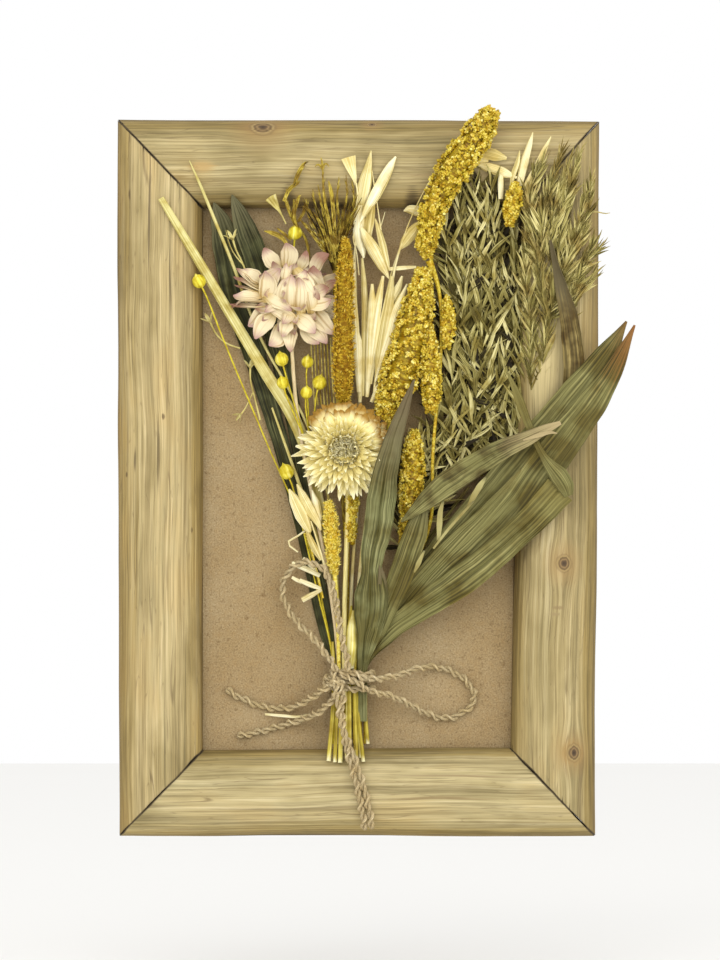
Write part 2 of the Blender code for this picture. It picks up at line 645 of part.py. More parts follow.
def make_blades():
    green = (0.22, 0.25, 0.11)
    tall = tied_leaf(12.0) + [
        (11.6, 14.3, -61.2, 3.6),
        (27.8, 17.6, -39.2, 5.4),
        (50.6, 20.6, -13.5, 6.5),
        (71.4, 23.0, 11.4, 7.2),
        (90.0, 24.6, 34.2, 6.6),
        (102.5, 25.0, 50.8, 4.4),
        (110.8, 25.2, 64.5, 0.6),
    ]
    leaf("blade_tall", tall, green)
    rust = tied_leaf(12.85) + [
        (13.6, 15.7, -63.3, 3.8),
        (35.6, 19.6, -41.5, 5.8),
        (61.0, 22.6, -17.6, 6.8),
        (81.8, 25.4, 10.6, 7.2),
        (96.3, 26.8, 30.1, 5.8),
        (105.4, 27.0, 44.6, 3.8),
        (114.1, 27.2, 62.9, 0.6),
    ]
    leaf("blade_rust", rust, green)
    rolled = tied_leaf(13.7) + [
        (11.0, 16.8, -62.0, 2.6),
        (21.6, 19.3, -46.7, 3.8),
        (38.2, 22.0, -28, 4.2),
        (54.8, 23.8, -11.4, 3.2),
        (67.2, 25.4, 3.1, 0.6),
    ]
    leaf("blade_rolled", rolled, (0.20, 0.17, 0.09))
    folded = tied_leaf(14.55) + [
        (10.8, 17.0, -65.8, 3.5),
        (25.2, 20.1, -54.4, 4.8),
        (44.1, 22.9, -41.5, 6.2),
        (64.9, 25.2, -23.8, 5.6),
        (76.0, 26.8, -13.4, 5.6),
        (84.6, 27.6, -7.8, 3.4),
        (87.2, 28.0, -5.6, 1.2),
        (85.6, 28.7, -3.0, 2.2),
        (82.0, 29.2, 0.4, 3.6),
        (78.2, 29.0, 4.6, 2.8),
        (75.0, 28.6, 10.0, 1.8),
        (70.6, 28.0, 20, 1.5),
        (66.4, 26.4, 32.2, 1.8),
        (61.8, 25.0, 41.3, 0.5),
    ]
    leaf("blade_folded", folded, green, 0.06)
    back = tied_leaf(15.4) + [
        (10.6, 19.2, -60, 4.2),
        (19.6, 21.9, -40.4, 6.4),
        (25.2, 23.6, -22.8, 5.6),
        (27.8, 24.4, -9.3, 1.4),
    ]
    leaf("blade_back", back, green)
    torn = [
        (18.7, 25.3, -18.5, 0.6),
        (27.5, 26.0, -10, 3.4),
        (35.7, 26.6, -2.7, 4.8),
        (46.5, 27.4, 4, 5.0),
        (58.9, 29.0, 11.4, 4.6),
        (71.4, 30.4, 16.8, 3.6),
        (83.0, 30.8, 22.2, 1.2),
    ]
    leaf("leaf_torn", torn, (0.27, 0.26, 0.14))
    front = [
        (LEAF_COLUMN, 16.3, TIE_BOTTOM_Z - 9, LEAF_HALF_WIDTH),
        (LEAF_COLUMN, 16.3, TIE_BOTTOM_Z, LEAF_HALF_WIDTH),
        (LEAF_COLUMN, 16.4, TIE_Z + 5, LEAF_HALF_WIDTH),
        (4.0, 19.4, -67.4, 3.6),
        (5.0, 21.6, -55, 6.2),
        (5.4, 22.8, -46.7, 6.8),
        (5.8, 24.0, -34.2, 5.4),
        (8.3, 25.6, -21.8, 5.4),
        (9.5, 27.4, -9.3, 5.8),
        (12.4, 28.6, 7.3, 4.8),
        (15.8, 28.4, 19.7, 3.5),
        (19.5, 27.6, 30.1, 2.1),
        (23.2, 27.0, 40.5, 0.5),
    ]
    leaf("leaf_front", front, (0.23, 0.24, 0.14))


# --- Tied end ---

def make_tied_stems():
    straw = (0.70, 0.62, 0.18)
    sheath = tied(3, 3, 0.9) + [(-3.1, 16.2, -70, 1.25, 1.0), (-2.9, 16.4, -60, 1.0, 0.7), (-2.8, 16.4, -54, 0.4, 0.4)]
    stalk("stalk_sheath", sheath, straw)
    stalk("stem_cut_left", tied(0, 3, 0.9) + [(-10.6, 15.2, -68, 0.6, 0.6)], straw)
    stalk("stem_cut_right", tied(4, 3, 0.9) + [(-0.8, 15.4, -70, 0.7, 0.7), (-0.2, 15.6, -58, 0.4, 0.4)], straw)
    cream = (0.80, 0.72, 0.45)
    bits = [
        [(-26.0, 15.6, -39.4, 1.2, 0.8), (-21.8, 15.7, -42.0, 1.6, 0.9), (-17.4, 15.8, -44.8, 0.8, 0.6)],
        [(-26.0, 15.6, -45.6, 1.2, 0.8), (-20.4, 15.7, -48.2, 1.6, 0.9), (-14.2, 15.8, -51.0, 0.8, 0.6)],
        [(-21.4, 15.6, -57.2, 1.5, 0.8), (-17.4, 15.7, -55.2, 1.5, 0.9), (-13.2, 15.8, -52.9, 0.7, 0.6)],
    ]
    for number, route in enumerate(bits, start=1):
        stalk(f"straw_bit_{number}", route, cream)


# --- Twine ---

def make_wrap():
    """Three turns round the stems, which press flat into a rounded oblong, and the knot in front of them."""
    sides = 16
    shape = bmesh.new()
    rings = []
    for i in range(sides):
        angle = math.tau * i / sides
        ca, sa = math.cos(angle), math.sin(angle)
        squash = (ca**8 + sa**8) ** (-1 / 8)
        ring = []
        for j in range(2 * TIE_TURNS + 1):
            lift = TIE_HALF_HEIGHT * (1 - j / TIE_TURNS)
            wall = 1.85 if j % 2 else 1.2
            x = TIE_CENTRE[0] + (TIE_HALF_WIDTH + wall) * squash * ca
            depth = TIE_CENTRE[1] + (TIE_HALF_DEPTH + wall) * squash * sa
            ring.append(spot(x, depth, TIE_Z + lift))
        for j in (1, 0):
            lift = TIE_HALF_HEIGHT * (1 - 2 * j)
            x = TIE_CENTRE[0] + TIE_HALF_WIDTH * squash * ca
            ring.append(spot(x, TIE_CENTRE[1] + TIE_HALF_DEPTH * squash * sa, TIE_Z + lift))
        rings.append(ring)
    skin(shape, rings, closed=True)
    wrap = add_object("twine_wrap", shape, (0.45, 0.38, 0.26))
    knot = [(-10.0, 20.2, -85.2, 1.0, 1.0), (-7.6, 20.8, -85.2, 2.6, 2.2), (-3.6, 21.0, -85, 3.2, 2.6)]
    knot += [(0.4, 20.8, -84.8, 2.6, 2.2), (2.6, 20.2, -84.8, 1.0, 1.0)]
    join(wrap, stalk("knot_tool", knot, (0.45, 0.38, 0.26), 8))


def even_points(route, gap):
    """Points at an equal gap along the smooth curve through a route."""
    fine = [Vector(point) for point in smooth(route, 16)]
    lengths = [0.0]
    for behind, ahead in zip(fine, fine[1:]):
        lengths.append(lengths[-1] + (ahead - behind).length)
    count = max(2, round(lengths[-1] / gap))
    points = []
    i = 0
    for step in range(count + 1):
        target = lengths[-1] * step / count
        while i < len(fine) - 2 and lengths[i + 1] < target:
            i += 1
        share = (target - lengths[i]) / (lengths[i + 1] - lengths[i])
        points.append(fine[i].lerp(fine[i + 1], min(share, 1.0)))
    return points


def twine(name, route):
    """A free length of the twine, as a round tube with flat ends."""
    curve = bpy.data.curves.new(name, "CURVE")
    curve.dimensions = "3D"
    curve.bevel_depth = TWINE_DIAMETER / 2 * MM
    curve.bevel_resolution = 2
    curve.use_fill_caps = True
    points = even_points(route, TWINE_POINT_GAP)
    spline = curve.splines.new("POLY")
    spline.points.add(len(points) - 1)
    for place, point in zip(points, spline.points):
        point.co = (*spot(*place), 1)
    curve.materials.append(finish(name, (0.45, 0.38, 0.26), 0.9))
    cord = bpy.data.objects.new(name, curve)
    bpy.context.scene.collection.objects.link(cord)


def make_twine():
    loop_left = [
        (-8.4, 22.6, -80.2), (-12.4, 21.4, -74.0), (-18.2, 17.6, -66.6), (-25.2, 13.0, -59.8), (-29.6, 10.4, -53.3),
        (-31.5, 10.6, -46.4), (-28.8, 13.6, -39.0), (-22.0, 18.4, -34.9), (-15.0, 20.0, -37.6), (-10.8, 20.2, -44.8),
        (-8.6, 20.0, -55.0), (-6.8, 20.4, -66.0), (-4.6, 22.0, -75.0), (-3.6, 24.0, -80.4),
    ]
    loop_right = [
        (3.9, 22.4, -83.4), (9.6, 21.4, -83.0), (16.6, 17.4, -82.0), (24.4, 11.6, -79.4), (32.4, 7.6, -78.8),
        (40.4, 6.4, -81.4), (46.4, 6.4, -86.4), (48.2, 6.4, -92.4), (43.6, 6.4, -97.6), (36.0, 6.6, -100.0),
        (28.0, 8.6, -97.8), (20.4, 13.0, -93.8), (12.6, 18.4, -90.2), (4.2, 21.4, -88.2),
    ]
    tail_upper = [
        (-11.6, 22.8, -85.6), (-15.0, 20.6, -88.0), (-20.4, 13.8, -91.8), (-28.6, 7.4, -95.6), (-38.6, 6.3, -95.4),
        (-48.4, 6.3, -91.8), (-55.0, 6.4, -88.2),
    ]
    tail_lower = [
        (-10.2, 21.6, -91.4), (-15.4, 18.4, -96.4), (-21.6, 11.6, -99.6), (-29.4, 7.0, -102.4), (-40.6, 6.3, -105.6),
        (-50.2, 6.4, -107.6),
    ]
    tail_front = [
        (-6.2, 22.6, -89.8), (-6.8, 22.4, -98.0), (-5.0, 22.6, -110.6), (-2.8, 23.2, -119.0), (-0.6, 23.2, -127.0),
        (1.6, 22.6, -137.6), (2.9, 21.4, -145.6),
    ]
    twine("twine_loop_left", loop_left)
    twine("twine_loop_right", loop_right)
    twine("twine_tail_upper", tail_upper)
    twine("twine_tail_lower", tail_lower)
    twine("twine_tail_front", tail_front)


for old in list(bpy.data.objects):
    bpy.data.objects.remove(old)
make_rail("rail_top", *make_top, 0.5)
make_rail("rail_bottom", *make_bottom, 0.3)
make_rail("rail_left", *make_left, 0.8)
make_rail("rail_right", *make_right, 0.6)
make_board()
make_left_leaves()
make_straws()
make_flax()
make_husks()
make_strawflower_pink()
make_strawflower_cream()
make_grasses()
make_oats()
make_millet()
make_foliage()
make_blades()
make_tied_stems()
make_wrap()
make_twine()
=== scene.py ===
"""A rustic picture frame of half-round poles that holds a tied bouquet of dried flowers.

Every piece is laid out flat, in millimetres, as its maker lays it on a table: x to the right, y up the
picture and z up from the wall. stand_up() then turns it upright into the frame's own place.
"""

import math
import random

import bmesh
import bpy
from mathutils import Matrix, Vector


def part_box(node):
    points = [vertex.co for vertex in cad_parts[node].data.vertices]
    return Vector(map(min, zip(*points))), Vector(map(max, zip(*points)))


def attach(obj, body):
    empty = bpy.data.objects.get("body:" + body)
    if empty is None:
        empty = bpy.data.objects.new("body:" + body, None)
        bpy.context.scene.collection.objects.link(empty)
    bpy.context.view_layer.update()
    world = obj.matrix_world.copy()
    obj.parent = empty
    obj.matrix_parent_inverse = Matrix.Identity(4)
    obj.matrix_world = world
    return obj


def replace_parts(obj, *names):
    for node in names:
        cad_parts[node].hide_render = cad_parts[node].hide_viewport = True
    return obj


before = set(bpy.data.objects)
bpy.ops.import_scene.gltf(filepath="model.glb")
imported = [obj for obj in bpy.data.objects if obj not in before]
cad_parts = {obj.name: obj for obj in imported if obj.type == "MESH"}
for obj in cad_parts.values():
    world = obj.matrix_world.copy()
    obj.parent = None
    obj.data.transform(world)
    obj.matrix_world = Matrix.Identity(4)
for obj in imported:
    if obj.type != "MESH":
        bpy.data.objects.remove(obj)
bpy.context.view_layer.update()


# --- Camera, floor and light ---
# The frame is seen square on, through a long lens from two and a half metres away. A white studio
# surrounds it, with a large soft lamp above and to the left and a weaker one on the right.
FRAME_CENTRE_Z = -0.1334
CAMERA_DISTANCE = 2.5
CAMERA_ASIDE, CAMERA_LOWER = 0.0008, 0.001
SENSOR_HEIGHT = 36
VIEW_HEIGHT, VIEW_DEPTH = 0.3984, 0.012
FLOOR_SIZE, FLOOR_FORWARD, FLOOR_DROP = 5, 0.6, 0.06
LAMP_SIZE = 1.5

frame_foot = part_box("rail_bottom")[0][2]
bpy.ops.object.select_all(action="DESELECT")
bpy.ops.object.camera_add(
    location=(CAMERA_ASIDE, -CAMERA_DISTANCE, FRAME_CENTRE_Z - CAMERA_LOWER),
    rotation=(math.radians(90), 0, 0)
)
camera = bpy.context.object
camera.data.sensor_fit = "VERTICAL"
camera.data.sensor_height = SENSOR_HEIGHT
camera.data.lens = SENSOR_HEIGHT * (CAMERA_DISTANCE - VIEW_DEPTH) / VIEW_HEIGHT
camera.data.clip_end = 30
bpy.context.scene.camera = camera

bpy.ops.mesh.primitive_plane_add(size=FLOOR_SIZE, location=(0, -FLOOR_FORWARD, frame_foot - FLOOR_DROP))
floor = bpy.context.object
floor.name = "floor"

for place, watts in (((-0.4, -1.7, 0.7), 11.4), ((0.9, -1.5, 0.1), 9)):
    bpy.ops.object.light_add(type="AREA", location=place)
    lamp = bpy.context.object
    lamp.data.shape = "DISK"
    lamp.data.size = LAMP_SIZE
    lamp.data.energy = watts
    lamp.rotation_euler = (Vector((0, 0, FRAME_CENTRE_Z)) - lamp.location).to_track_quat("-Z", "Y").to_euler()

studio = bpy.data.worlds.new("studio")
studio.use_nodes = True
studio.node_tree.nodes["Background"].inputs["Color"].default_value = (1, 1, 1, 1)
studio.node_tree.nodes["Background"].inputs["Strength"].default_value = 1.0
bpy.context.scene.world = studio
bpy.context.scene.view_settings.view_transform = "Standard"


def linear(code, alpha=1.0):
    """An sRGB hex colour as linear numbers."""
    parts = [int(code[i : i + 2], 16) / 255 for i in (1, 3, 5)]
    return (*[p / 12.92 if p <= 0.04045 else ((p + 0.055) / 1.055) ** 2.4 for p in parts], alpha)


def add(tree, kind, inputs=None, stops=None, **settings):
    """One shader node with its settings and ramp stops.

    An input is a number, a colour, a node or its output.
    """
    made = tree.nodes.new("ShaderNode" + kind)
    for key, value in settings.items():
        setattr(made, key, value)
    for key, value in (inputs or {}).items():
        if isinstance(value, bpy.types.Node):
            value = next(output for output in value.outputs if output.enabled)
        if isinstance(value, bpy.types.NodeSocket):
            tree.links.new(value, made.inputs[key])
        elif isinstance(value, str):
            made.inputs[key].default_value = linear(value)
        else:
            made.inputs[key].default_value = value
    if stops:
        ramp = made.color_ramp
        while len(ramp.elements) < len(stops):
            ramp.elements.new(0.5)
        for element, (place, code) in zip(ramp.elements, stops):
            element.position = place
            element.color = linear(code) if isinstance(code, str) else (code, code, code, 1)
    return made


def new_material(name, roughness=0.8):
    """An empty material with a Principled shader. Returns it with its node tree and its shader."""
    material = bpy.data.materials.new(name)
    material.use_nodes = True
    shader = material.node_tree.nodes["Principled BSDF"]
    shader.inputs["Roughness"].default_value = roughness
    return material, material.node_tree, shader


# The floor is matt white studio card.
card, _, card_shader = new_material("matt white card", 0.9)
card_shader.inputs["Base Color"].default_value = linear("#F2F1EE")
floor.data.materials.append(card)


# --- Twine ---
# Craft jute, 2.6 mm thick: two plies of coarse bast fibre laid together, hairy and stiff. It goes three
# times round the stems and is tied in a bow. The loops stand as they were pulled.
TWINE = 2.6
PLY_OFFSET = 0.54
PLY_RADIUS = 0.76
LAY_LENGTH = 7.5
STAND_UP = (
    Matrix.Translation((0, 0, FRAME_CENTRE_Z)) @ Matrix.Rotation(math.radians(90), 4,
        "X") @ Matrix.Scale(0.001, 4)
)


def only(*pieces):
    """Selects these objects alone."""
    bpy.ops.object.select_all(action="DESELECT")
    for piece in pieces:
        piece.select_set(True)
    bpy.context.view_layer.objects.active = pieces[0]


def apply_all(piece):
    """Applies a piece's modifiers in their order."""
    only(piece)
    for modifier in list(piece.modifiers):
        bpy.ops.object.modifier_apply(modifier=modifier.name)


def lay_route(points, twist="Z_UP"):
    """A smooth line through (x, y, z) places on the table.

    A fourth number is its radius, a fifth its tilt.
    """
    data = bpy.data.curves.new("route", "CURVE")
    data.dimensions = "3D"
    data.twist_mode = twist
    data.resolution_u = 16
    data.use_stretch = True
    data.use_deform_bounds = True
    spline = data.splines.new("BEZIER")
    spline.bezier_points.add(len(points) - 1)
    for knot, place in zip(spline.bezier_points, points):
        knot.co = place[:3]
        knot.handle_left_type = knot.handle_right_type = "AUTO"
        knot.radius = place[3] if len(place) > 3 else 1
        knot.tilt = math.radians(place[4]) if len(place) > 4 else 0
    route = bpy.data.objects.new("route", data)
    bpy.context.scene.collection.objects.link(route)
    return route


def follow(piece, points, axis="POS_X", twist="Z_UP"):
    """Bends a straight piece along a route, and widens it by the route's radius."""
    route = lay_route(points, twist)
    bend = piece.modifiers.new("route", "CURVE")
    bend.object = route
    bend.deform_axis = axis
    apply_all(piece)
    bpy.data.objects.remove(route)


def route_length(points):
    """The length of a route as it is bent."""
    route = lay_route(points)
    length = sum(spline.calc_length() for spline in route.data.splines)
    bpy.data.objects.remove(route)
    return length


def set_value(piece, name, values):
    """Stores one number for each point of a mesh, for its material to read."""
    layer = piece.data.attributes.get(name) or piece.data.attributes.new(name, "FLOAT", "POINT")
    layer.data.foreach_set("value", values)


def set_all(piece, name, number):
    """Stores the same number for every point of a mesh."""
    set_value(piece, name, [number] * len(piece.data.vertices))


def stand_up(piece, name, material):
    """Stands a finished piece up in the frame, and gives it its name, material and body."""
    only(piece)
    piece.data.transform(STAND_UP)
    piece.name = name
    piece.data.name = name
    piece.data.materials.clear()
    piece.data.materials.append(material)
    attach(piece, "root")
    return piece


jute, tree, shader = new_material("jute bast fibre, two-ply", 0.9)
along = add(tree, "Attribute", attribute_name="along").outputs["Fac"]
around = add(tree, "Attribute", attribute_name="around").outputs["Fac"]
# Each fibre runs along its ply, about 0.15 mm wide, so the pattern is long and narrow.
fibre_place = add(tree, "CombineXYZ",
    {"X": around, "Y": add(tree, "Math", {0: along, 1: 0.12}, operation="MULTIPLY").outputs[0]})
fibre = add(tree, "TexNoise",
    {"Vector": fibre_place.outputs[0], "Scale": 5.0, "Detail": 4, "Roughness": 0.65})
patch_noise = add(
    tree, "TexNoise", {"Vector": add(tree, "TexCoord").outputs["Object"], "Scale": 160.0, "Detail": 3}
)
fibre_colour = add(
    tree, "ValToRGB", {"Fac": fibre.outputs["Fac"]},
    stops=[(0.28, "#7E6F50"), (0.45, "#B2A17B"), (0.58, "#D2C29E"), (0.74, "#F0E8CE")],
)
jute_colour = add(
    tree, "Mix", {"Factor": patch_noise.outputs["Fac"], 6: fibre_colour.outputs["Color"], 7: "#A09070"},
    data_type="RGBA", blend_type="SOFT_LIGHT",
)
tree.links.new(jute_colour.outputs[2], shader.inputs["Base Color"])
fibre_bump = add(tree, "Bump", {"Height": fibre.outputs["Fac"], "Strength": 0.8, "Distance": 0.0003})
tree.links.new(fibre_bump.outputs[0], shader.inputs["Normal"])


def make_strand(points):
    """A length of two-ply twine along a route: a pair of round plies screwed round each other, then bent."""
    length = route_length(points)
    turns = max(1, round(length / LAY_LENGTH))
    bpy.ops.object.select_all(action="DESELECT")
    bpy.ops.mesh.primitive_circle_add(vertices=9, radius=PLY_RADIUS, location=(0, PLY_OFFSET, 0))
    strand = bpy.context.object
    bpy.ops.object.mode_set(mode="EDIT")
    bpy.ops.mesh.primitive_circle_add(vertices=9, radius=PLY_RADIUS, location=(0, -2 * PLY_OFFSET, 0))
    bpy.ops.object.mode_set(mode="OBJECT")
    bpy.ops.object.transform_apply(location=True, rotation=True, scale=True)
    twist = strand.modifiers.new("lay", "SCREW")
    twist.axis = "Z"
    twist.angle = math.tau
    twist.screw_offset = length / turns
    twist.iterations = turns
    twist.steps = twist.render_steps = 9
    twist.use_normal_calculate = True
    apply_all(strand)
    # The fibre pattern is set while the strand is straight.
    along_values, around_values = [], []
    for point in strand.data.vertices:
        turn = math.tau * point.co.z * turns / length
        place = Vector((point.co.x, point.co.y)) @ Matrix(((math.cos(turn), -math.sin(turn)),
            (math.sin(turn), math.cos(turn))))
        side = 1 if place.y > 0 else -1
        along_values.append(point.co.z)
        around_values.append(abs(math.atan2(place.x, place.y - side * PLY_OFFSET)) * 1.0 + side * 7)
    set_value(strand, "along", along_values)
    set_value(strand, "around", around_values)
    only(strand)
    bpy.ops.object.mode_set(mode="EDIT")
    bpy.ops.mesh.select_all(action="SELECT")
    bpy.ops.mesh.fill_holes(sides=0)
    bpy.ops.mesh.normals_make_consistent(inside=False)
    bpy.ops.object.mode_set(mode="OBJECT")
    follow(strand, points, "POS_Z", "MINIMUM")
    bpy.ops.object.shade_smooth()
    return strand


def join_pieces(pieces):
    """Joins pieces into the first of them."""
    only(*pieces)
    if len(pieces) > 1:
        bpy.ops.object.join()
    return bpy.context.view_layer.objects.active


bpy.ops.object.select_all(action="DESELECT")
bpy.ops.mesh.primitive_cone_add(vertices=3, radius1=0.05, radius2=0.015, depth=1, location=(0, 0, 0.5))
hair_pattern = bpy.context.object
only(hair_pattern)
bpy.ops.object.transform_apply(location=True, rotation=True, scale=True)
set_value(hair_pattern, "along", [point.co.z for point in hair_pattern.data.vertices])
set_all(hair_pattern, "around", 1.0)


def plant_copies(patterns, places, tones=None):
    """Copies patterns to the places in turn and joins the copies. tones shifts the shade of each copy."""
    copies = []
    for number, place in enumerate(places):
        pattern = patterns[number % len(patterns)]
        copy = bpy.data.objects.new("copy", pattern.data.copy())
        copy.data.transform(place)
        if tones:
            own = copy.data.attributes.get("tone")
            own = [point.value for point in own.data] if own else [0.0] * len(copy.data.vertices)
            set_value(copy, "tone", [tone + tones[number] for tone in own])
        bpy.context.scene.collection.objects.link(copy)
        copies.append(copy)
    return join_pieces(copies)


def make_fuzz(points, spacing, seed):
    """Loose jute hairs that stand out of a strand along its route."""
    rng = random.Random(seed)
    only(lay_route(points))
    bpy.ops.object.convert(target="MESH")
    line = [vertex.co.copy() for vertex in bpy.context.object.data.vertices]
    bpy.data.objects.remove(bpy.context.object)
    places = []
    for start, end in zip(line, line[1:]):
        run = (end - start).normalized()
        for _ in range(int((end - start).length / spacing + rng.random())):
            out = Vector((rng.gauss(0, 1), rng.gauss(0, 1), rng.gauss(0, 1))).cross(run).normalized()
            lean = (run * rng.uniform(-1.4, 1.4) + out).normalized()
            places.append(
                Matrix.Translation(start.lerp(end, rng.random()) + out * TWINE * 0.4)
                @ lean.to_track_quat("Z", "X").to_matrix().to_4x4()
                @ Matrix.Diagonal((1, 1, rng.uniform(0.9, 2.4), 1))
            )
    return plant_copies([hair_pattern], places)


cord_routes = {
    "twine_loop_left": [
        (-8.4, -80.2, 22.6), (-12.4, -74.0, 21.4), (-18.2, -66.6, 17.6), (-25.2, -59.8, 13.0),
        (-29.6, -53.3, 10.4),
        (-31.5, -46.4, 10.6), (-28.8, -39.0, 13.6), (-22.0, -34.9, 18.4), (-15.0, -37.6, 20.0),
        (-10.8, -44.8, 20.2),
        (-8.6, -55.0, 20.0), (-6.8, -66.0, 20.4), (-4.6, -75.0, 22.0), (-3.6, -80.4, 24.0),
    ],
    "twine_loop_right": [
        (3.9, -83.4, 22.4), (9.6, -83.0, 21.4), (16.6, -82.0, 17.4), (24.4, -79.4, 11.6), (32.4, -78.8, 7.6),
        (40.4, -81.4, 6.4), (46.4, -86.4, 6.4), (48.2, -92.4, 6.4), (43.6, -97.6, 6.4), (36.0, -100.0, 6.6),
        (28.0, -97.8, 8.6), (20.4, -93.8, 13.0), (12.6, -90.2, 18.4), (4.2, -88.2, 21.4),
    ],
    "twine_tail_upper": [
        (-11.6, -85.6, 22.8), (-15.0, -88.0, 20.6), (-20.4, -91.8, 13.8), (-28.6, -95.6, 7.4),
        (-38.6, -95.4, 6.3),
        (-48.4, -91.8, 6.3), (-55.0, -88.2, 6.4),
    ],
    "twine_tail_lower": [
        (-10.2, -91.4, 21.6), (-15.4, -96.4, 18.4), (-21.6, -99.6, 11.6), (-29.4, -102.4, 7.0),
        (-40.6, -105.6, 6.3),
        (-50.2, -107.6, 6.4),
    ],
    "twine_tail_front": [
        (-6.2, -89.8, 22.6), (-6.8, -98.0, 22.4), (-5.0, -110.6, 22.6), (-2.8, -119.0, 23.2),
        (-0.6, -127.0, 23.2),
        (1.6, -137.6, 22.6), (2.9, -145.6, 21.4),
    ],
}
second_end = [
    (-9.6, -84.0, 23.6), (-8.6, -92.0, 23.2), (-6.8, -101.0, 23.0), (-3.6, -110.8, 23.6),
    (-0.4, -119.0, 23.8),
    (2.4, -128.0, 23.2), (4.6, -137.6, 22.6), (5.8, -145.2, 21.4),
]
for number, (node, points) in enumerate(cord_routes.items()):
    name = node.replace("twine", "jute")
    cord = stand_up(make_strand(points), name, jute)
    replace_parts(cord, node)
    fuzz = make_fuzz(points, 0.7, number)
    if node == "twine_tail_front":
        # The other end of the twine hangs beside it.
        fuzz = join_pieces([fuzz, make_strand(second_end), make_fuzz(second_end, 0.8, 9)])
    fuzz = stand_up(fuzz, name + "_fuzz", jute)
    route_length(points) / 1000


# --- Turns and knot of the twine ---
# The same jute, drawn tight three times round the stems, which it squeezes into a flat oblong. The bow is
# crossed over and through itself in front, so short lengths show over the turns.
TIE_X, TIE_DEPTH = -3.65, 12.3
TIE_HALF_WIDTH, TIE_HALF_DEPTH = 9.35, 6.5
TIE_TURNS = 3

turn_points = []
for step in range(TIE_TURNS * 16 + 1):
    angle = math.tau * step / 16 - math.pi / 2
    squash = (abs(math.cos(angle)) ** 5 + abs(math.sin(angle)) ** 5) ** (-1 / 5)
    slant = 1.0 * math.cos(angle) * math.sin(angle / 3)
    turn_points.append(
        (
            TIE_X + TIE_HALF_WIDTH * squash * math.cos(angle),
            -80.6 - 2.7 * step / 16 + slant,
            TIE_DEPTH + TIE_HALF_DEPTH * squash * math.sin(angle),
        )
    )
knot_routes = [
    turn_points,
    [(-11.8, -82.4, 18.8), (-8.0, -82.0, 21.0), (-2.0, -83.6, 22.6), (2.0, -86.4, 22.4), (4.4, -88.3, 21.4)],
    [(-11.4, -79.9, 18.9), (-6.0, -80.1, 21.2), (0.0, -81.6, 22.4), (4.1, -83.4, 22.4)],
    [(-6.2, -90.2, 22.6), (-7.2, -86.8, 23.2), (-9.0, -83.0, 22.8), (-10.6, -80.2, 20.4)],
    [(-11.9, -85.8, 22.8), (-9.0, -84.6, 23.4), (-5.6, -84.8, 22.2)],
    [(-10.5, -91.6, 21.6), (-8.4, -88.9, 22.2), (-6.4, -86.4, 21.6)],
]
knot_parts = [make_strand(points) for points in knot_routes]
knot_parts += [make_fuzz(points, 0.8, 20 + number) for number, points in enumerate(knot_routes)]
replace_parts(stand_up(join_pieces(knot_parts), "jute_turns", jute), "twine_wrap")


# --- Poles ---
# Debarked softwood poles of 33 to 37 mm, split to a half round, sawn flat behind and mitred. They are
# weathered: silvery tan, with long drying checks and a few small branch knots, and painted shade and old
# dirt darken them towards the edges.
CROWN_DEPTH = 20.8
ARCH_FOOT = 8.2
SHOULDER = 5.0
REBATE = 6.0
MITRE_GAP = 0.04
MITRE_WEAR = 0.28
ARCH_SIDES = 184
RING_GAP = 2.2


def pick(piece, part, test):
    """In edit mode, selects only the points, edges or faces that pass a test."""
    bpy.ops.mesh.select_mode(type=part)
    bpy.ops.mesh.select_all(action="DESELECT")
    shape = bmesh.from_edit_mesh(piece.data)
    for item in {"VERT": shape.verts, "EDGE": shape.edges, "FACE": shape.faces}[part]:
        if test(item):
            item.select_set(True)
    bmesh.update_edit_mesh(piece.data)


def ripple(piece, size, strength, seed, direction="NORMAL", turn=0.0, group=""):
    """Pushes a surface in and out by soft noise of this size, in millimetres along x, y and z."""
    noise_place = bpy.data.objects.new("noise place", None)
    bpy.context.scene.collection.objects.link(noise_place)
    noise_place.location = (seed * 31, seed * 17, seed * 40)
    noise_place.rotation_euler.z = turn
    noise_place.scale = size
    bpy.context.view_layer.update()
    waves = bpy.data.textures.new("waves", "CLOUDS")
    waves.noise_scale = 1
    waves.noise_depth = 1
    push = piece.modifiers.new("ripple", "DISPLACE")
    push.texture = waves
    push.texture_coords = "OBJECT"
    push.texture_coords_object = noise_place
    push.direction = direction
    push.vertex_group = group
    push.strength = strength
    apply_all(piece)
    bpy.data.objects.remove(noise_place)


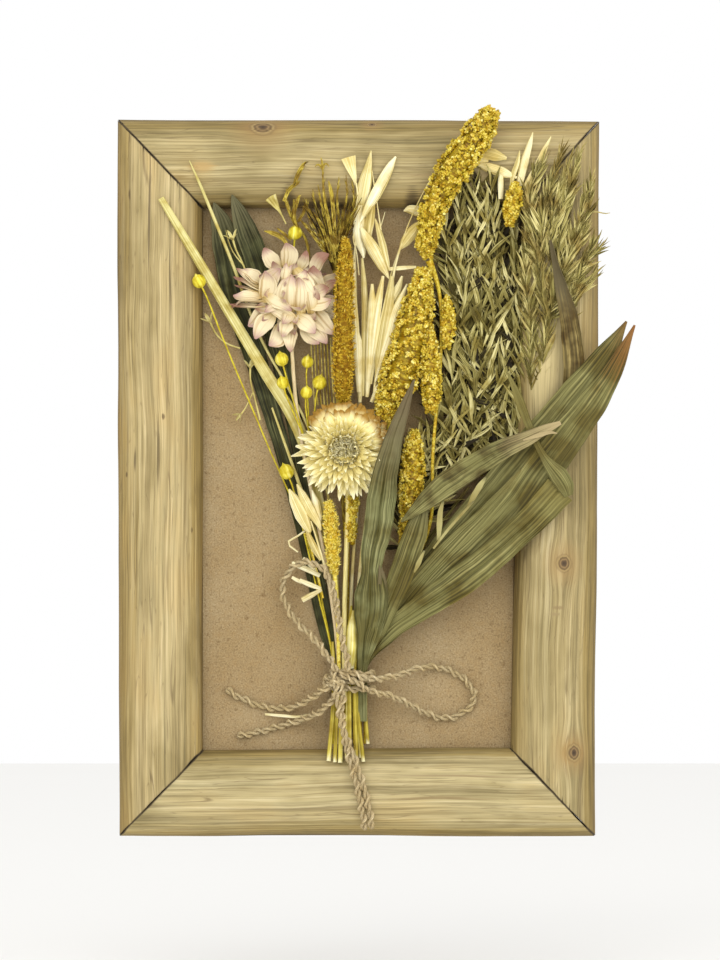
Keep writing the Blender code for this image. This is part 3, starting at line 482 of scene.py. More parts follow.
def make_pole(outer, inner, seed):
    """One pole from its outer and inner edges, each a pair of corners.

    It is turned, sawn, rebated and mitred.
    """
    outer = [Vector(corner) for corner in outer]
    inner = [Vector(corner) for corner in inner]
    along = (outer[1] - outer[0]).normalized()
    inward = Vector((along.y, -along.x))
    length = (outer[1] - outer[0]).length
    stations = [(corner - outer[0]).dot(along) for corner in inner]
    widths = [(corner - outer[0]).dot(inward) for corner in inner]
    taper = (widths[1] - widths[0]) / (stations[1] - stations[0])
    start_width = widths[0] - taper * stations[0]
    end_width = widths[1] + taper * (length - stations[1])
    middle_width = (start_width + end_width) / 2
    bpy.ops.object.select_all(action="DESELECT")
    bpy.ops.mesh.primitive_cone_add(
        vertices=ARCH_SIDES, radius1=start_width / 2, radius2=end_width / 2, depth=length,
        end_fill_type="NOTHING", location=(length / 2, 0, ARCH_FOOT), rotation=(0, math.radians(90), 0),
    )
    pole = bpy.context.object
    pole.scale.x = 2 * (CROWN_DEPTH - ARCH_FOOT) / middle_width
    bpy.ops.object.transform_apply(location=True, rotation=True, scale=True)
    bpy.ops.object.mode_set(mode="EDIT")
    bpy.ops.mesh.select_all(action="SELECT")
    bpy.ops.mesh.bisect(plane_co=(0, 0, ARCH_FOOT), plane_no=(0, 0, 1), clear_inner=True)

    def long_edge(side, depth):
        return lambda edge: all(
            abs(point.co.z - depth) < 0.05 and point.co.y * side > 0 for point in edge.verts
        ) and abs(edge.verts[0].co.x - edge.verts[1].co.x) > length / 2

    for side, depth, moves in (
        (1, ARCH_FOOT, [(0, 0, -ARCH_FOOT)]),
        (-1, ARCH_FOOT, [(0, 0, SHOULDER - ARCH_FOOT), (0, REBATE, 0), (0, 0, -SHOULDER)]),
    ):
        pick(pole, "EDGE", long_edge(side, depth))
        for move in moves:
            bpy.ops.mesh.extrude_region_move(TRANSFORM_OT_translate={"value": move})
    pick(pole, "EDGE", lambda edge: all(abs(point.co.z) < 0.05 for point in edge.verts))
    bpy.ops.mesh.edge_face_add()
    pick(pole, "EDGE", lambda edge: abs(edge.verts[0].co.x - edge.verts[1].co.x) > length / 2)
    bpy.ops.mesh.subdivide(number_cuts=int(length / RING_GAP))
    bpy.ops.object.mode_set(mode="OBJECT")
    # The grain is measured on the straight pole: its station along, and its girth outwards from the crown.
    grain = pole.data.attributes.new("grain", "FLOAT_VECTOR", "POINT")
    for point, place in zip(pole.data.vertices, grain.data):
        lift = max(point.co.z - ARCH_FOOT, 0) / (CROWN_DEPTH - ARCH_FOOT)
        girth = 16 * math.atan2(point.co.y / (middle_width / 2), lift)
        place.vector = (point.co.x, girth + math.copysign(max(ARCH_FOOT - point.co.z, 0), point.co.y), 0)
    slope = (end_width - start_width) / 2 / length
    run = (along + inward * slope).normalized()
    corner = outer[0] + inward * start_width / 2
    pole.data.transform(
        Matrix(((run.x, -run.y, 0, corner.x), (run.y, run.x, 0, corner.y), (0, 0, 1, 0), (0, 0, 0, 1)))
    )
    bpy.ops.object.mode_set(mode="EDIT")
    saws = []
    for end, away in ((0, -1), (1, 1)):
        mitre = (outer[end] - inner[end]).normalized()
        normal = Vector((mitre.y, -mitre.x))
        if normal.dot(along) * away < 0:
            normal.negate()
        place = outer[end] - along * MITRE_GAP * away
        bpy.ops.mesh.select_all(action="SELECT")
        bpy.ops.mesh.bisect(
            plane_co=(place.x, place.y, 0), plane_no=(normal.x, normal.y, 0), clear_outer=True, use_fill=True
        )
        bpy.ops.mesh.bevel(offset=MITRE_WEAR, offset_type="OFFSET", affect="EDGES")
        saws.append((place, normal))
    bpy.ops.mesh.select_all(action="SELECT")
    bpy.ops.mesh.normals_make_consistent(inside=False)
    bpy.ops.object.mode_set(mode="OBJECT")
    set_value(
        pole, "mitre",
        [min((place - point.co.xy).dot(normal) for place, normal in saws) for point in pole.data.vertices],
    )
    # Weather has worn the round side only, in long shallow waves and finer ridges.
    worn = pole.vertex_groups.new(name="round side")
    for point in pole.data.vertices:
        worn.add([point.index], min(1, max(0, (point.co.z - 5.5) / 4)), "REPLACE")
    turn = math.atan2(run.y, run.x)
    for size, long, strength in ((9, 9, 1.5), (2.6, 14, 0.34), (1.2, 22, 0.18)):
        ripple(pole, (size * long, size, size), strength, seed, turn=turn, group="round side")
    pole.vertex_groups.clear()
    only(pole)
    bpy.ops.object.shade_smooth_by_angle(angle=math.radians(50))
    return pole


def pole_wood(name, seed, tint, knots, stains_and_painted_light):
    """Weathered spruce.

    knots are (station, girth, radius); stain marks and patches of painted light are (station, girth, length,
    width, colour).
    """
    wood, tree, shader = new_material(name, 0.82)
    grain = add(tree, "Attribute", attribute_name="grain").outputs["Vector"]

    # The grain swings a millimetre or two from side to side, and parts round each knot.
    swing_place = add(tree, "Mapping",
        {"Vector": grain, "Scale": (1 / 90, 1 / 45, 1), "Location": (0, 0, seed)})
    swing = add(tree, "TexNoise", {"Vector": swing_place, "Scale": 1.0, "Detail": 2}).outputs["Color"]
    flowing = add(tree, "VectorMath", {0: swing, 1: (0, 6, 0), 2: grain}, operation="MULTIPLY_ADD")
    for at, across, radius in knots:
        reach = (3.4 * radius, 1.7 * radius)
        around = add(
            tree, "Mapping",
            {"Vector": grain, "Scale": (1 / reach[0], 1 / reach[1], 1),
                "Location": (-at / reach[0], -across / reach[1], 0)},
        )
        near = add(
            tree, "MapRange", {"Value": add(tree, "VectorMath", {0: around}, operation="LENGTH"), 1: 0,
                2: 1.5, 3: 1, 4: 0},
            interpolation_type="SMOOTHSTEP",
        )
        aside = add(tree, "VectorMath", {0: around, 1: (0, -radius * 1.1, 0)}, operation="MULTIPLY")
        aside = add(tree, "VectorMath", {0: aside, "Scale": near}, operation="SCALE")
        flowing = add(tree, "VectorMath", {0: flowing, 1: aside}, operation="ADD")

    # Growth lines about a millimetre apart, finer fibre between them, and broad bands and patches of
    # weathering.
    layers = {}
    for key, vector, long, wide, detail in (
        ("lines", flowing, 75, 1.2, 3), ("fibre", flowing, 30, 0.45, 3), ("bands", flowing, 150, 5, 3),
        ("patches", grain, 50, 20, 3), ("splits", flowing, 90, 4.6, 1), ("hairs", flowing, 45, 2.0, 1),
        ("places", grain, 42, 6, 2),
    ):
        place = add(
            tree, "Mapping", {"Vector": vector, "Scale": (1 / long, 1 / wide, 1),
                "Location": (0, 0, seed * 3.7 + wide)}
        )
        layers[key] = add(tree, "TexNoise",
            {"Vector": place, "Scale": 1.0, "Detail": detail, "Roughness": 0.6})
    colour = add(
        tree, "ValToRGB", {"Fac": layers["lines"]},
        stops=[(0.26, "#8E8460"), (0.42, "#B1A47B"), (0.56, "#C4B68C"), (0.74, "#D9CDA8")],
    )
    for share, key, stops in (
        (0.38, "fibre", [(0.32, "#8E7E5C"), (0.50, "#FFFFFF"), (0.72, "#FFFCF4")]),
        (0.45, "bands", [(0.34, "#ABA07E"), (0.48, "#EFE9D8"), (0.62, "#FFFFFF")]),
        (0.50, "patches", [(0.34, "#B9B496"), (0.50, "#FFFFFF"), (0.66, "#FFF3DE")]),
    ):
        shade = add(tree, "ValToRGB", {"Fac": layers[key]}, stops=stops)
        colour = add(tree, "Mix", {"Factor": share, 6: colour, 7: shade}, data_type="RGBA",
            blend_type="MULTIPLY")
    colour = add(tree, "Mix", {"Factor": 1.0, 6: colour, 7: tint}, data_type="RGBA", blend_type="MULTIPLY")
    # Old dirt and painted shade darken the low edges of the round.
    girth = add(tree, "VectorMath", {0: grain, 1: (0, 1 / 32, 0)}, operation="MULTIPLY")
    edge = add(tree, "Math", {0: add(tree, "VectorMath", {0: girth}, operation="LENGTH"), 1: layers["bands"]},
        operation="ADD")
    edge_dirt_and_shade = add(
        tree, "ValToRGB", {"Fac": add(tree, "Math", {0: edge, 1: 0.42}, operation="SUBTRACT")},
        stops=[(0.38, "#FFFFFF"), (0.62, "#DED5B6"), (0.80, "#B5A980"), (0.94, "#82764F")],
    )
    colour = add(tree, "Mix", {"Factor": 1.0, 6: colour, 7: edge_dirt_and_shade}, data_type="RGBA",
        blend_type="MULTIPLY")
    # Drying checks: thin dark splits that come and go along the grain.
    where = add(tree, "ValToRGB", {"Fac": layers["places"]}, stops=[(0.52, 0.0), (0.64, 1.0)])
    checks = None
    for key, half, full in (("splits", 0.018, 1.0), ("hairs", 0.013, 0.5)):
        off = add(tree, "Math", {0: layers[key], 1: 0.5}, operation="SUBTRACT")
        off = add(tree, "Math", {0: off}, operation="ABSOLUTE")
        check = add(tree, "MapRange", {"Value": off, 1: half * 0.2, 2: half, 3: full, 4: 0})
        checks = add(tree, "Math", {0: check, 1: where}, operation="MULTIPLY") if checks is None else add(
            tree, "Math", {0: check, 1: checks}, operation="MAXIMUM"
        )
    colour = add(
        tree, "Mix", {"Factor": add(tree, "Math", {0: checks, 1: 0.55}, operation="MULTIPLY"), 6: colour,
            7: "#5E4C2E"},
        data_type="RGBA",
    )
    height = add(tree, "Math", {0: layers["fibre"], 1: layers["lines"]}, operation="ADD")
    height = add(tree, "Math", {0: height, 1: checks}, operation="SUBTRACT")
    # Stain marks, and pale patches of painted light, are mixed over the grain.
    for at, across, long, wide, code in stains_and_painted_light:
        spot = add(
            tree, "Mapping",
            {"Vector": flowing, "Scale": (1 / long, 1 / wide, 1),
                "Location": (-at / long, -(across + 3) / wide, 0)},
        )
        spot = add(tree, "VectorMath", {0: spot}, operation="LENGTH")
        spot = add(tree, "Math", {0: layers["fibre"], 1: 1.6, 2: spot}, operation="MULTIPLY_ADD")
        spot = add(tree, "MapRange", {"Value": spot, 1: 1.3, 2: 1.9, 3: 0.8, 4: 0})
        colour = add(tree, "Mix", {"Factor": spot, 6: colour, 7: code}, data_type="RGBA")
    for at, across, radius in knots:
        disc = add(
            tree, "Mapping",
            {
                "Vector": grain, "Scale": (1 / radius / 1.15, 1 / radius, 1),
                "Location": (-at / radius / 1.15, -across / radius, 0),
            },
        )
        disc = add(tree, "VectorMath", {0: disc}, operation="LENGTH")
        disc = add(tree, "Math", {0: layers["fibre"], 1: 0.5, 2: disc}, operation="MULTIPLY_ADD")
        rings = add(
            tree, "ValToRGB", {"Fac": add(tree, "Math", {0: disc, 1: 0.25}, operation="SUBTRACT")},
            stops=[(0, "#3F2F1E"), (0.28, "#5E4A30"), (0.42, "#8F744A"), (0.60, "#5F4A2C"), (0.78, "#A38A58"),
                (0.98, "#6E5A38")],
        )
        halo = add(tree, "MapRange", {"Value": disc, 1: 1.0, 2: 3.2, 3: 0.45, 4: 0})
        inside = add(tree, "MapRange", {"Value": disc, 1: 1.0, 2: 1.35, 3: 1, 4: 0})
        colour = add(tree, "Mix", {"Factor": halo, 6: colour, 7: "#A07C48"}, data_type="RGBA")
        colour = add(tree, "Mix", {"Factor": inside, 6: colour, 7: rings}, data_type="RGBA")
        height = add(tree, "Math", {0: height, 1: inside}, operation="SUBTRACT")
    # The saw cut of the mitre has gone dark.
    mitre = add(tree, "Attribute", attribute_name="mitre").outputs["Fac"]
    mitre = add(tree, "Math", {0: layers["places"], 1: -0.5, 2: mitre}, operation="MULTIPLY_ADD")
    mitre = add(tree, "MapRange", {"Value": mitre, 1: 0.0, 2: 0.34, 3: 0.9, 4: 0})
    colour = add(tree, "Mix", {"Factor": mitre, 6: colour, 7: "#3B2F1C"}, data_type="RGBA")
    bump = add(tree, "Bump", {"Height": height, "Strength": 0.32, "Distance": 0.0005})
    tree.links.new(next(output for output in colour.outputs if output.enabled), shader.inputs["Base Color"])
    tree.links.new(bump.outputs[0], shader.inputs["Normal"])
    return wood


TOP_LEFT, TOP_RIGHT, BOTTOM_RIGHT, BOTTOM_LEFT = (-100, 148.8), (100, 148), (98.4, -148.8), (-99.2, -148.8)
INNER_TOP_LEFT, INNER_TOP_RIGHT = (-64.6, 112), (67.4, 112.2)
INNER_BOTTOM_RIGHT, INNER_BOTTOM_LEFT = (63.4, -112.4), (-64.6, -113.4)
poles = {
    "rail_top": (
        (TOP_LEFT, TOP_RIGHT), (INNER_TOP_LEFT, INNER_TOP_RIGHT), "#F0EBDD",
        [(60.6, 15.5, 4.8), (105.8, 17.5, 1.8)],
        [
            (35.5, -1, 6, 2.4, "#B5965E"), (122.5, -17, 3.4, 9, "#43351F"), (24, -5, 7, 1.2, "#8A7444"),
            (71, -16, 3.6, 7, "#4E4027"),
            (86, -20, 16, 4, "#54452B"), (60.6, 16, 9, 2.6, "#7E673F"), (150, 12, 16, 1.4, "#9C8558"),
            (140, -4, 22, 1.2, "#A08B60"),
        ],
    ),
    "rail_right": (
        (TOP_RIGHT, BOTTOM_RIGHT), (INNER_TOP_RIGHT, INNER_BOTTOM_RIGHT), "#EFE9DA",
        [(183.5, 3.0, 3.3), (261.9, 8.0, 3.4)],
        # The long pale patch at station 84 is painted light: it lifts the shadow that the leaves above cast
        # here.
        [(84, -8, 46, 7, "#CDBB86"), (201.9, 1.6, 1.0, 2.6, "#8C7750"), (204.6, 0.6, 0.9, 2.0, "#96825A"),
            (261.9, 8.0, 5, 4, "#A08650")],
    ),
    "rail_bottom": (
        (BOTTOM_RIGHT, BOTTOM_LEFT), (INNER_BOTTOM_RIGHT, INNER_BOTTOM_LEFT), "#FFFDF6", [],
        [(66, 2.4, 26, 0.7, "#8C7850"), (120, 5.6, 40, 0.6, "#8A7A54"), (60, -6.5, 34, 0.6, "#93805A")],
    ),
    "rail_left": (
        (BOTTOM_LEFT, TOP_LEFT), (INNER_BOTTOM_LEFT, INNER_TOP_LEFT), "#FFF8EC", [],
        [
            (260, 3.4, 26, 0.5, "#5E4F34"), (266, 12.5, 2.4, 0.7, "#57462A"), (229, -4.9, 19, 0.5, "#665737"),
            (156, 0.9, 18, 0.45, "#665737"), (156, 10.6, 5.4, 0.6, "#5A4A30"),
            (174, -1.2, 1.4, 0.8, "#5E4A2C"),
            (150, 15, 1.2, 0.7, "#5E4A2C"), (127, -14.5, 1.4, 0.8, "#65502F"),
        ],
    ),
}
for number, (node, (outer, inner, tint, knots, stains_and_painted_light)) in enumerate(poles.items()):
    wood = pole_wood("weathered spruce, " + node.replace("rail_", ""), number + 1, tint, knots, stains_and_painted_light)
    pole = stand_up(make_pole(outer, inner, number + 1), node.replace("rail", "pole"), wood)
    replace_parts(pole, node)


# --- Back board ---
# A panel of 3 mm hardboard, pressed from fine brown wood fibre. Its smooth side faces forwards, with flecks
# of darker and paler fibre, and it keeps its CAD shape.
hardboard, tree, shader = new_material("hardboard, pressed wood fibre", 0.88)
place = add(tree, "TexCoord").outputs["Object"]
speckle = add(tree, "TexNoise",
    {"Vector": place, "Scale": 1500.0, "Detail": 3, "Roughness": 0.7}).outputs["Fac"]
board_colour = add(
    tree, "ValToRGB", {"Fac": speckle},
    stops=[(0.30, "#84704E"), (0.44, "#9C8762"), (0.60, "#AB9771"), (0.72, "#BDAB85")]
)
for scale, stops in (
    (420.0, [(0.30, "#C6B49A"), (0.45, "#FFFFFF"), (0.70, "#FFF7EA")]),
    (22.0, [(0.35, "#E9DFCB"), (0.65, "#FFFFFF")]),
):
    fleck = add(tree, "TexNoise",
        {"Vector": place, "Scale": scale, "Detail": 4, "Roughness": 0.65}).outputs["Fac"]
    fleck = add(tree, "ValToRGB", {"Fac": fleck}, stops=stops)
    board_colour = add(
        tree, "Mix", {"Factor": 0.8, 6: board_colour, 7: fleck}, data_type="RGBA", blend_type="MULTIPLY"
    )
tree.links.new(board_colour.outputs[2], shader.inputs["Base Color"])
board_bump = add(tree, "Bump", {"Height": speckle, "Strength": 0.35, "Distance": 0.0003})
tree.links.new(board_bump.outputs[0], shader.inputs["Normal"])
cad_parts["back_board"].material_slots[0].material = hardboard


# --- Dark leaves ---
# Two long lance-shaped leaves behind the pink flower. They dried to a blackish blue-green and went stiff,
# with fine raised veins from end to end and a slightly crinkled edge.
LEAF_THICKNESS = 0.24
LANCE_SECTION = (0.16, 0.05, 0.09, 0.0, -0.1, 0.0, 0.09, 0.05, 0.16)


def note_place(piece, length):
    """Stores where each point lies on its leaf: millimetres along, share across and share of the length."""
    set_value(piece, "along", [point.co.x for point in piece.data.vertices])
    set_value(piece, "across", [point.co.y for point in piece.data.vertices])
    set_value(piece, "end", [point.co.x / length for point in piece.data.vertices])


def make_strip(points, section, rows=24, thickness=LEAF_THICKNESS, crinkle=0.0, seed=0, wave=5):
    """A leaf along a route of (x, y, depth, half width, tilt).

    section lifts its columns, from edge to edge.
    """
    length = route_length(points)
    columns = len(section) - 1
    bpy.ops.object.select_all(action="DESELECT")
    bpy.ops.mesh.primitive_grid_add(x_subdivisions=rows, y_subdivisions=columns, size=2,
        location=(length / 2, 0, 0))
    strip = bpy.context.object
    strip.scale.x = length / 2
    bpy.ops.object.transform_apply(location=True, rotation=True, scale=True)
    bpy.ops.object.mode_set(mode="EDIT")
    for column, lift in enumerate(section):
        across = -1 + 2 * column / columns
        pick(strip, "VERT", lambda point: abs(point.co.y - across) < 0.01)
        bpy.ops.transform.translate(value=(0, 0, lift))
    bpy.ops.object.mode_set(mode="OBJECT")
    note_place(strip, length)
    if crinkle:
        ripple(strip, (wave, 1.2, 1), crinkle, seed + 1, "Z")
        ripple(strip, (0.7 * wave, 1.5, 1), crinkle, seed + 5, "Y")
    follow(strip, points)
    if thickness:
        wall = strip.modifiers.new("thickness", "SOLIDIFY")
        wall.thickness = thickness
        wall.offset = 0
        apply_all(strip)
    only(strip)
    bpy.ops.object.shade_smooth_by_angle(angle=math.radians(60))
    return strip


def read_fibres(tree, veins, long, spread):
    """Reads where each point lies on its leaf or stem, and draws fibres along it, others for each tone."""
    value = {
        key: add(tree, "Attribute", attribute_name=key).outputs["Fac"] for key in ("along", "across", "end",
            "tone")
    }
    place = add(
        tree, "CombineXYZ",
        {
            "X": add(tree, "Math", {0: value["across"], 1: veins}, operation="MULTIPLY"),
            "Y": add(tree, "Math", {0: value["along"], 1: long}, operation="DIVIDE"),
            "Z": add(tree, "Math", {0: value["tone"], 1: spread}, operation="MULTIPLY"),
        },
    )
    return value, add(tree, "TexNoise",
        {"Vector": place, "Scale": 1.0, "Detail": 3, "Roughness": 0.6}).outputs["Fac"]


def dry_plant(name, stops, veins=5.0, long=18.0, patch=7.0, faded="#C9BE9C", tip=None, base=None, rough=0.72,
    bump=0.3):
    """A dried plant's skin.

    stops colour its fibres, and tip and base are (colour, share where it starts, ends).
    """
    skin, tree, shader = new_material(name, rough)
    shader.inputs["Specular IOR Level"].default_value = 0.22
    value, fibres = read_fibres(tree, veins, long, 37.0)
    shade = add(tree, "Math", {0: value["tone"], 1: 0.16, 2: fibres}, operation="MULTIPLY_ADD")
    colour = add(tree, "ValToRGB", {"Fac": shade}, stops=stops)
    place = add(tree, "TexCoord").outputs["Object"]
    cloud = add(tree, "TexNoise", {"Vector": place, "Scale": 1000 / patch, "Detail": 3}).outputs["Fac"]
    fading = add(tree, "ValToRGB", {"Fac": cloud}, stops=[(0.38, faded), (0.56, "#FFFFFF")])
    colour = add(tree, "Mix", {"Factor": 0.85, 6: colour, 7: fading}, data_type="RGBA", blend_type="MULTIPLY")
    for end in (tip, base):
        if end:
            code, start, finish = end
            ragged = add(tree, "Math", {0: fibres, 1: 0.3, 2: value["end"]}, operation="MULTIPLY_ADD")
            share = add(tree, "MapRange", {"Value": ragged, 1: start + 0.15, 2: finish + 0.15, 3: 0, 4: 0.92})
            colour = add(tree, "Mix", {"Factor": share, 6: colour, 7: code}, data_type="RGBA")
    tree.links.new(colour.outputs[2], shader.inputs["Base Color"])
    raised = add(tree, "Bump", {"Height": fibres, "Strength": bump, "Distance": 0.0004})
    tree.links.new(raised.outputs[0], shader.inputs["Normal"])
    return skin


STEM_FOOT, BELOW_TIE, ABOVE_TIE = -110.5, -92, -78
LEAF_FOOT, LEAF_ABOVE_TIE = -101, -79


def tied(x, depth, half, foot=STEM_FOOT, above=ABOVE_TIE):
    """The straight foot of a stem or leaf, from its cut end to just above the turns of twine."""
    return [(x, y, depth, half) for y in (foot, BELOW_TIE, above)]


dark_leaf = dry_plant(
    "dried dark green leaf", [(0.30, "#20220E"), (0.46, "#3B3C20"), (0.60, "#5A5A34"), (0.74, "#8E8A58")],
    veins=6, long=40, faded="#B4AE88", tip=("#6B6648", 0.9, 1.0), rough=0.62,
)
dark_leaves = {
    "leaf_dark_long": [
        *tied(-10.2, 8.2, 0.9, LEAF_FOOT, LEAF_ABOVE_TIE), (-14.6, -64, 6.6, 1.6),
        (-22.6, -24, 6.0, 2.6), (-30.7, 9, 6.0, 3.2), (-37.4, 32, 6.0, 3.8), (-44.2, 55, 6.2, 4.8, 6),
        (-50.4, 75, 6.8, 6.0, 10), (-54.6, 97, 9.0, 6.2, 0), (-57.4, 107.4, 12.8, 4.0),
        (-59.8, 114, 15.4, 0.3),
    ],
    "leaf_dark_short": [
        *tied(-8.0, 8.2, 0.9, LEAF_FOOT, LEAF_ABOVE_TIE), (-11.2, -64, 7.6, 1.3),
        (-17.2, -34, 7.2, 2.2), (-22.8, 3, 7.2, 3.0), (-28.2, 32, 7.2, 3.6), (-34.6, 61, 7.6, 4.6, -8),
        (-41.0, 88, 9.2, 5.4, -12), (-46.6, 103, 12.4, 4.8, -6), (-50.2, 112, 16.0, 2.8),
        (-52.2, 117, 18.2, 0.3),
    ],
}
for number, (node, points) in enumerate(dark_leaves.items()):
    leaf = make_strip(points, LANCE_SECTION, 60, crinkle=0.16, seed=number)
    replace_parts(stand_up(leaf, node.replace("leaf_dark", "dark_leaf"), dark_leaf), node)


# --- Straws ---
# Dried grass stems. The wide one was hollow and is pressed flat, bright yellow-green with a groove down its
# middle. Stems keep fine lengthwise ribs.


def make_stalk(points, sides=8, flat=1.0, groove=0.0):
    """A stem along a route of (x, y, depth, radius), pressed flat from the front, with a groove there."""
    length = route_length(points)
    bpy.ops.object.select_all(action="DESELECT")
    bpy.ops.mesh.primitive_cylinder_add(
        vertices=sides, radius=1, depth=length, location=(length / 2, 0, 0), rotation=(0, math.radians(90), 0)
    )
    stalk = bpy.context.object
    stalk.scale.x = flat
    bpy.ops.object.transform_apply(location=True, rotation=True, scale=True)
    bpy.ops.object.mode_set(mode="EDIT")
    if groove:
        pick(stalk, "VERT", lambda point: abs(point.co.y) < 0.01 and point.co.z > 0)
        bpy.ops.transform.translate(value=(0, 0, -groove))
    pick(stalk, "EDGE", lambda edge: abs(edge.verts[0].co.x - edge.verts[1].co.x) > length / 2)
    bpy.ops.mesh.subdivide(number_cuts=max(5, min(60, int(length / 2.4))))
    bpy.ops.object.mode_set(mode="OBJECT")
    note_place(stalk, length)
    follow(stalk, points)
    only(stalk)
    bpy.ops.object.shade_smooth_by_angle(angle=math.radians(60))
    return stalk


straw_yellow = dry_plant(
    "dried grass straw, yellow", [(0.30, "#A6974C"), (0.45, "#CABE74"), (0.60, "#DFD696"), (0.75, "#F3ECC0")],
    veins=3, long=60, faded="#DCCF9E", rough=0.5,
)
straws = {
    "straw_wide": (0.42, 0.24, [
        *tied(-5.8, 8.2, 0.95), (-7.2, -67, 8.5, 1.1),
        (-12.4, -35, 8.8, 1.8), (-18.5, 0, 9.3, 2.3), (-25.5, 22, 9.7, 2.7), (-39, 44.5, 11.0, 2.4),
        (-52.5, 67, 13.0, 2.1), (-66, 89.7, 18.4, 1.9), (-75.5, 105.5, 22.2, 1.6), (-81.5, 115.5, 23.2, 1.3),
    ]),
    "straw_thin": (1.0, 0.0, [
        *tied(-5.8, 10.5, 0.6), (-7.4, -60, 10.5, 0.5),
        (-10.6, -20, 10.6, 0.5), (-14.2, 0, 10.9, 0.5), (-21.2, 22, 11.2, 0.52), (-30.6, 40, 10.4, 0.55),
        (-39, 55, 9.9, 0.6), (-45.4, 70, 10.2, 0.65), (-50.8, 85.3, 12.0, 0.7), (-59.5, 107, 18.0, 0.7),
        (-65.6, 121.8, 21.6, 0.6), (-69.7, 131, 22.4, 0.2),
    ]),
    "straw_green": (1.0, 0.0, [
        *tied(-8, 10.5, 0.8), (-10.6, -50, 10.6, 0.7),
        (-15, -31, 10.8, 0.7), (-25.4, 0, 12.2, 0.7), (-35.7, 29, 13.0, 0.4),
    ]),
}
for node, (flat, groove, points) in straws.items():
    straw = make_stalk(points, 12, flat, groove)
    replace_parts(stand_up(straw, node.replace("straw", "grass_straw"), straw_yellow), node)


# --- Flax pods ---
# Round seed capsules of flax, bright yellow, with faint seams between their lobes, a short point on top and
# small sepals below. Each stands on its own hair-thin stalk.
flax_yellow = dry_plant(
    "flax capsule, dyed yellow", [(0.30, "#9C8A18"), (0.45, "#CCB926"), (0.60, "#E4D544"), (0.75, "#F6EC80")],
    veins=2.5, long=3, patch=2.5, faded="#D6CA80", rough=0.38, bump=0.25,
)

def note_upright(pattern):
    """Stores where each point lies on a pattern that stands along z."""
    for key, part in (("along", 2), ("across", 0), ("end", 2)):
        set_value(pattern, key, [point.co[part] for point in pattern.data.vertices])


bpy.ops.object.select_all(action="DESELECT")
bpy.ops.mesh.primitive_uv_sphere_add(segments=20, ring_count=12, radius=1)
pod_pattern = bpy.context.object
bpy.ops.object.mode_set(mode="EDIT")
pick(pod_pattern, "VERT",
    lambda point: abs(abs(math.degrees(math.atan2(point.co.y,
        point.co.x))) % 36) < 1 and abs(point.co.z) < 0.97)
bpy.ops.transform.resize(value=(0.93, 0.93, 1), center_override=(0, 0, 0))
pick(pod_pattern, "VERT", lambda point: point.co.z > 0.99)
bpy.ops.transform.translate(value=(0, 0, 0.32))
bpy.ops.object.mode_set(mode="OBJECT")
only(pod_pattern)
bpy.ops.object.shade_smooth()
note_upright(pod_pattern)
sepal_pattern = make_strip([(0, 0, 0, 0.3), (0.5, 0, 0.32, 0.42), (1.05, 0, 0.9, 0.34), (1.3, 0, 1.5, 0.03)],
    (0.1, 0, 0.1), 5, 0)


def aim(place, run, roll=0.0):
    """Turns a pattern's z axis along a direction, and moves it to a place."""
    return Matrix.Translation(place) @ Vector(run).to_track_quat("Z",
        "Y").to_matrix().to_4x4() @ Matrix.Rotation(roll, 4, "Z")


def make_pod(stem, centre, radius):
    """A stalk along a route, with a capsule at its end and five sepals that clasp it."""
    centre = Vector(centre)
    run = (centre - Vector(stem[-1][:3])).normalized()
    foot = centre - run * radius
    parts = [make_stalk(stem + [(*foot, 0.4)], 6)]
    parts.append(plant_copies([pod_pattern], [aim(centre, run) @ Matrix.Scale(radius, 4)],
        [0.4 + 0.2 * math.sin(centre.x)]))
    sepals = [
        aim(foot, run, math.tau * turn / 5) @ Matrix.Scale(radius * 0.62, 4) for turn in range(5)
    ]
    parts.append(plant_copies([sepal_pattern], sepals, [0.1] * 5))
    return join_pieces(parts)


pods = {
    "flax_outer": ([
        *tied(-10.2, 10.5, 0.45), (-13.6, -58, 10.6, 0.35),
        (-21.6, -24.7, 10.9, 0.35), (-38.6, 16, 11.2, 0.35), (-55.6, 56.6, 14.2, 0.35),
        (-63.2, 76, 17.8, 0.35),
    ], (-65.8, 81.2, 19.6), 2.9),
    "flax_top": ([(-31, 60, 9.4, 0.35), (-28.5, 80, 9.6, 0.35), (-26.6, 96, 11.8, 0.35)],
        (-26.1, 101.5, 13.6), 3.0),
    "flax_low": ([
        *tied(-10.2, 12.8, 0.45), (-17.4, -45, 13.0, 0.35),
        (-27.4, -3, 14.0, 0.35),
    ], (-29.7, 2.4, 14.4), 3.2),
}
for number, (centre, radius) in enumerate(
    (((-31.7, 49, 15.4), 2.9), ((-21, 48, 12.8), 2.6), ((-31.2, 39.2, 19.4), 2.6), ((-16, 39.4, 14.6), 3.0),
        ((-21.4, 35.2, 15.6), 2.6))
):
    x, y, depth = centre
    foot = [(-20.6 + 0.2 * (x + 24), 16, min(depth - 0.4, 16.4), 0.35),
        (x + 0.15 * (-24 - x), y - radius - 1.6, depth, 0.35)]
    pods[f"flax_mid_{number + 1}"] = (foot, centre, radius)
for node, (stem, centre, radius) in pods.items():
    pod = make_pod(stem, centre, radius)
    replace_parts(stand_up(pod, node.replace("flax", "flax_pod"), flax_yellow), node)


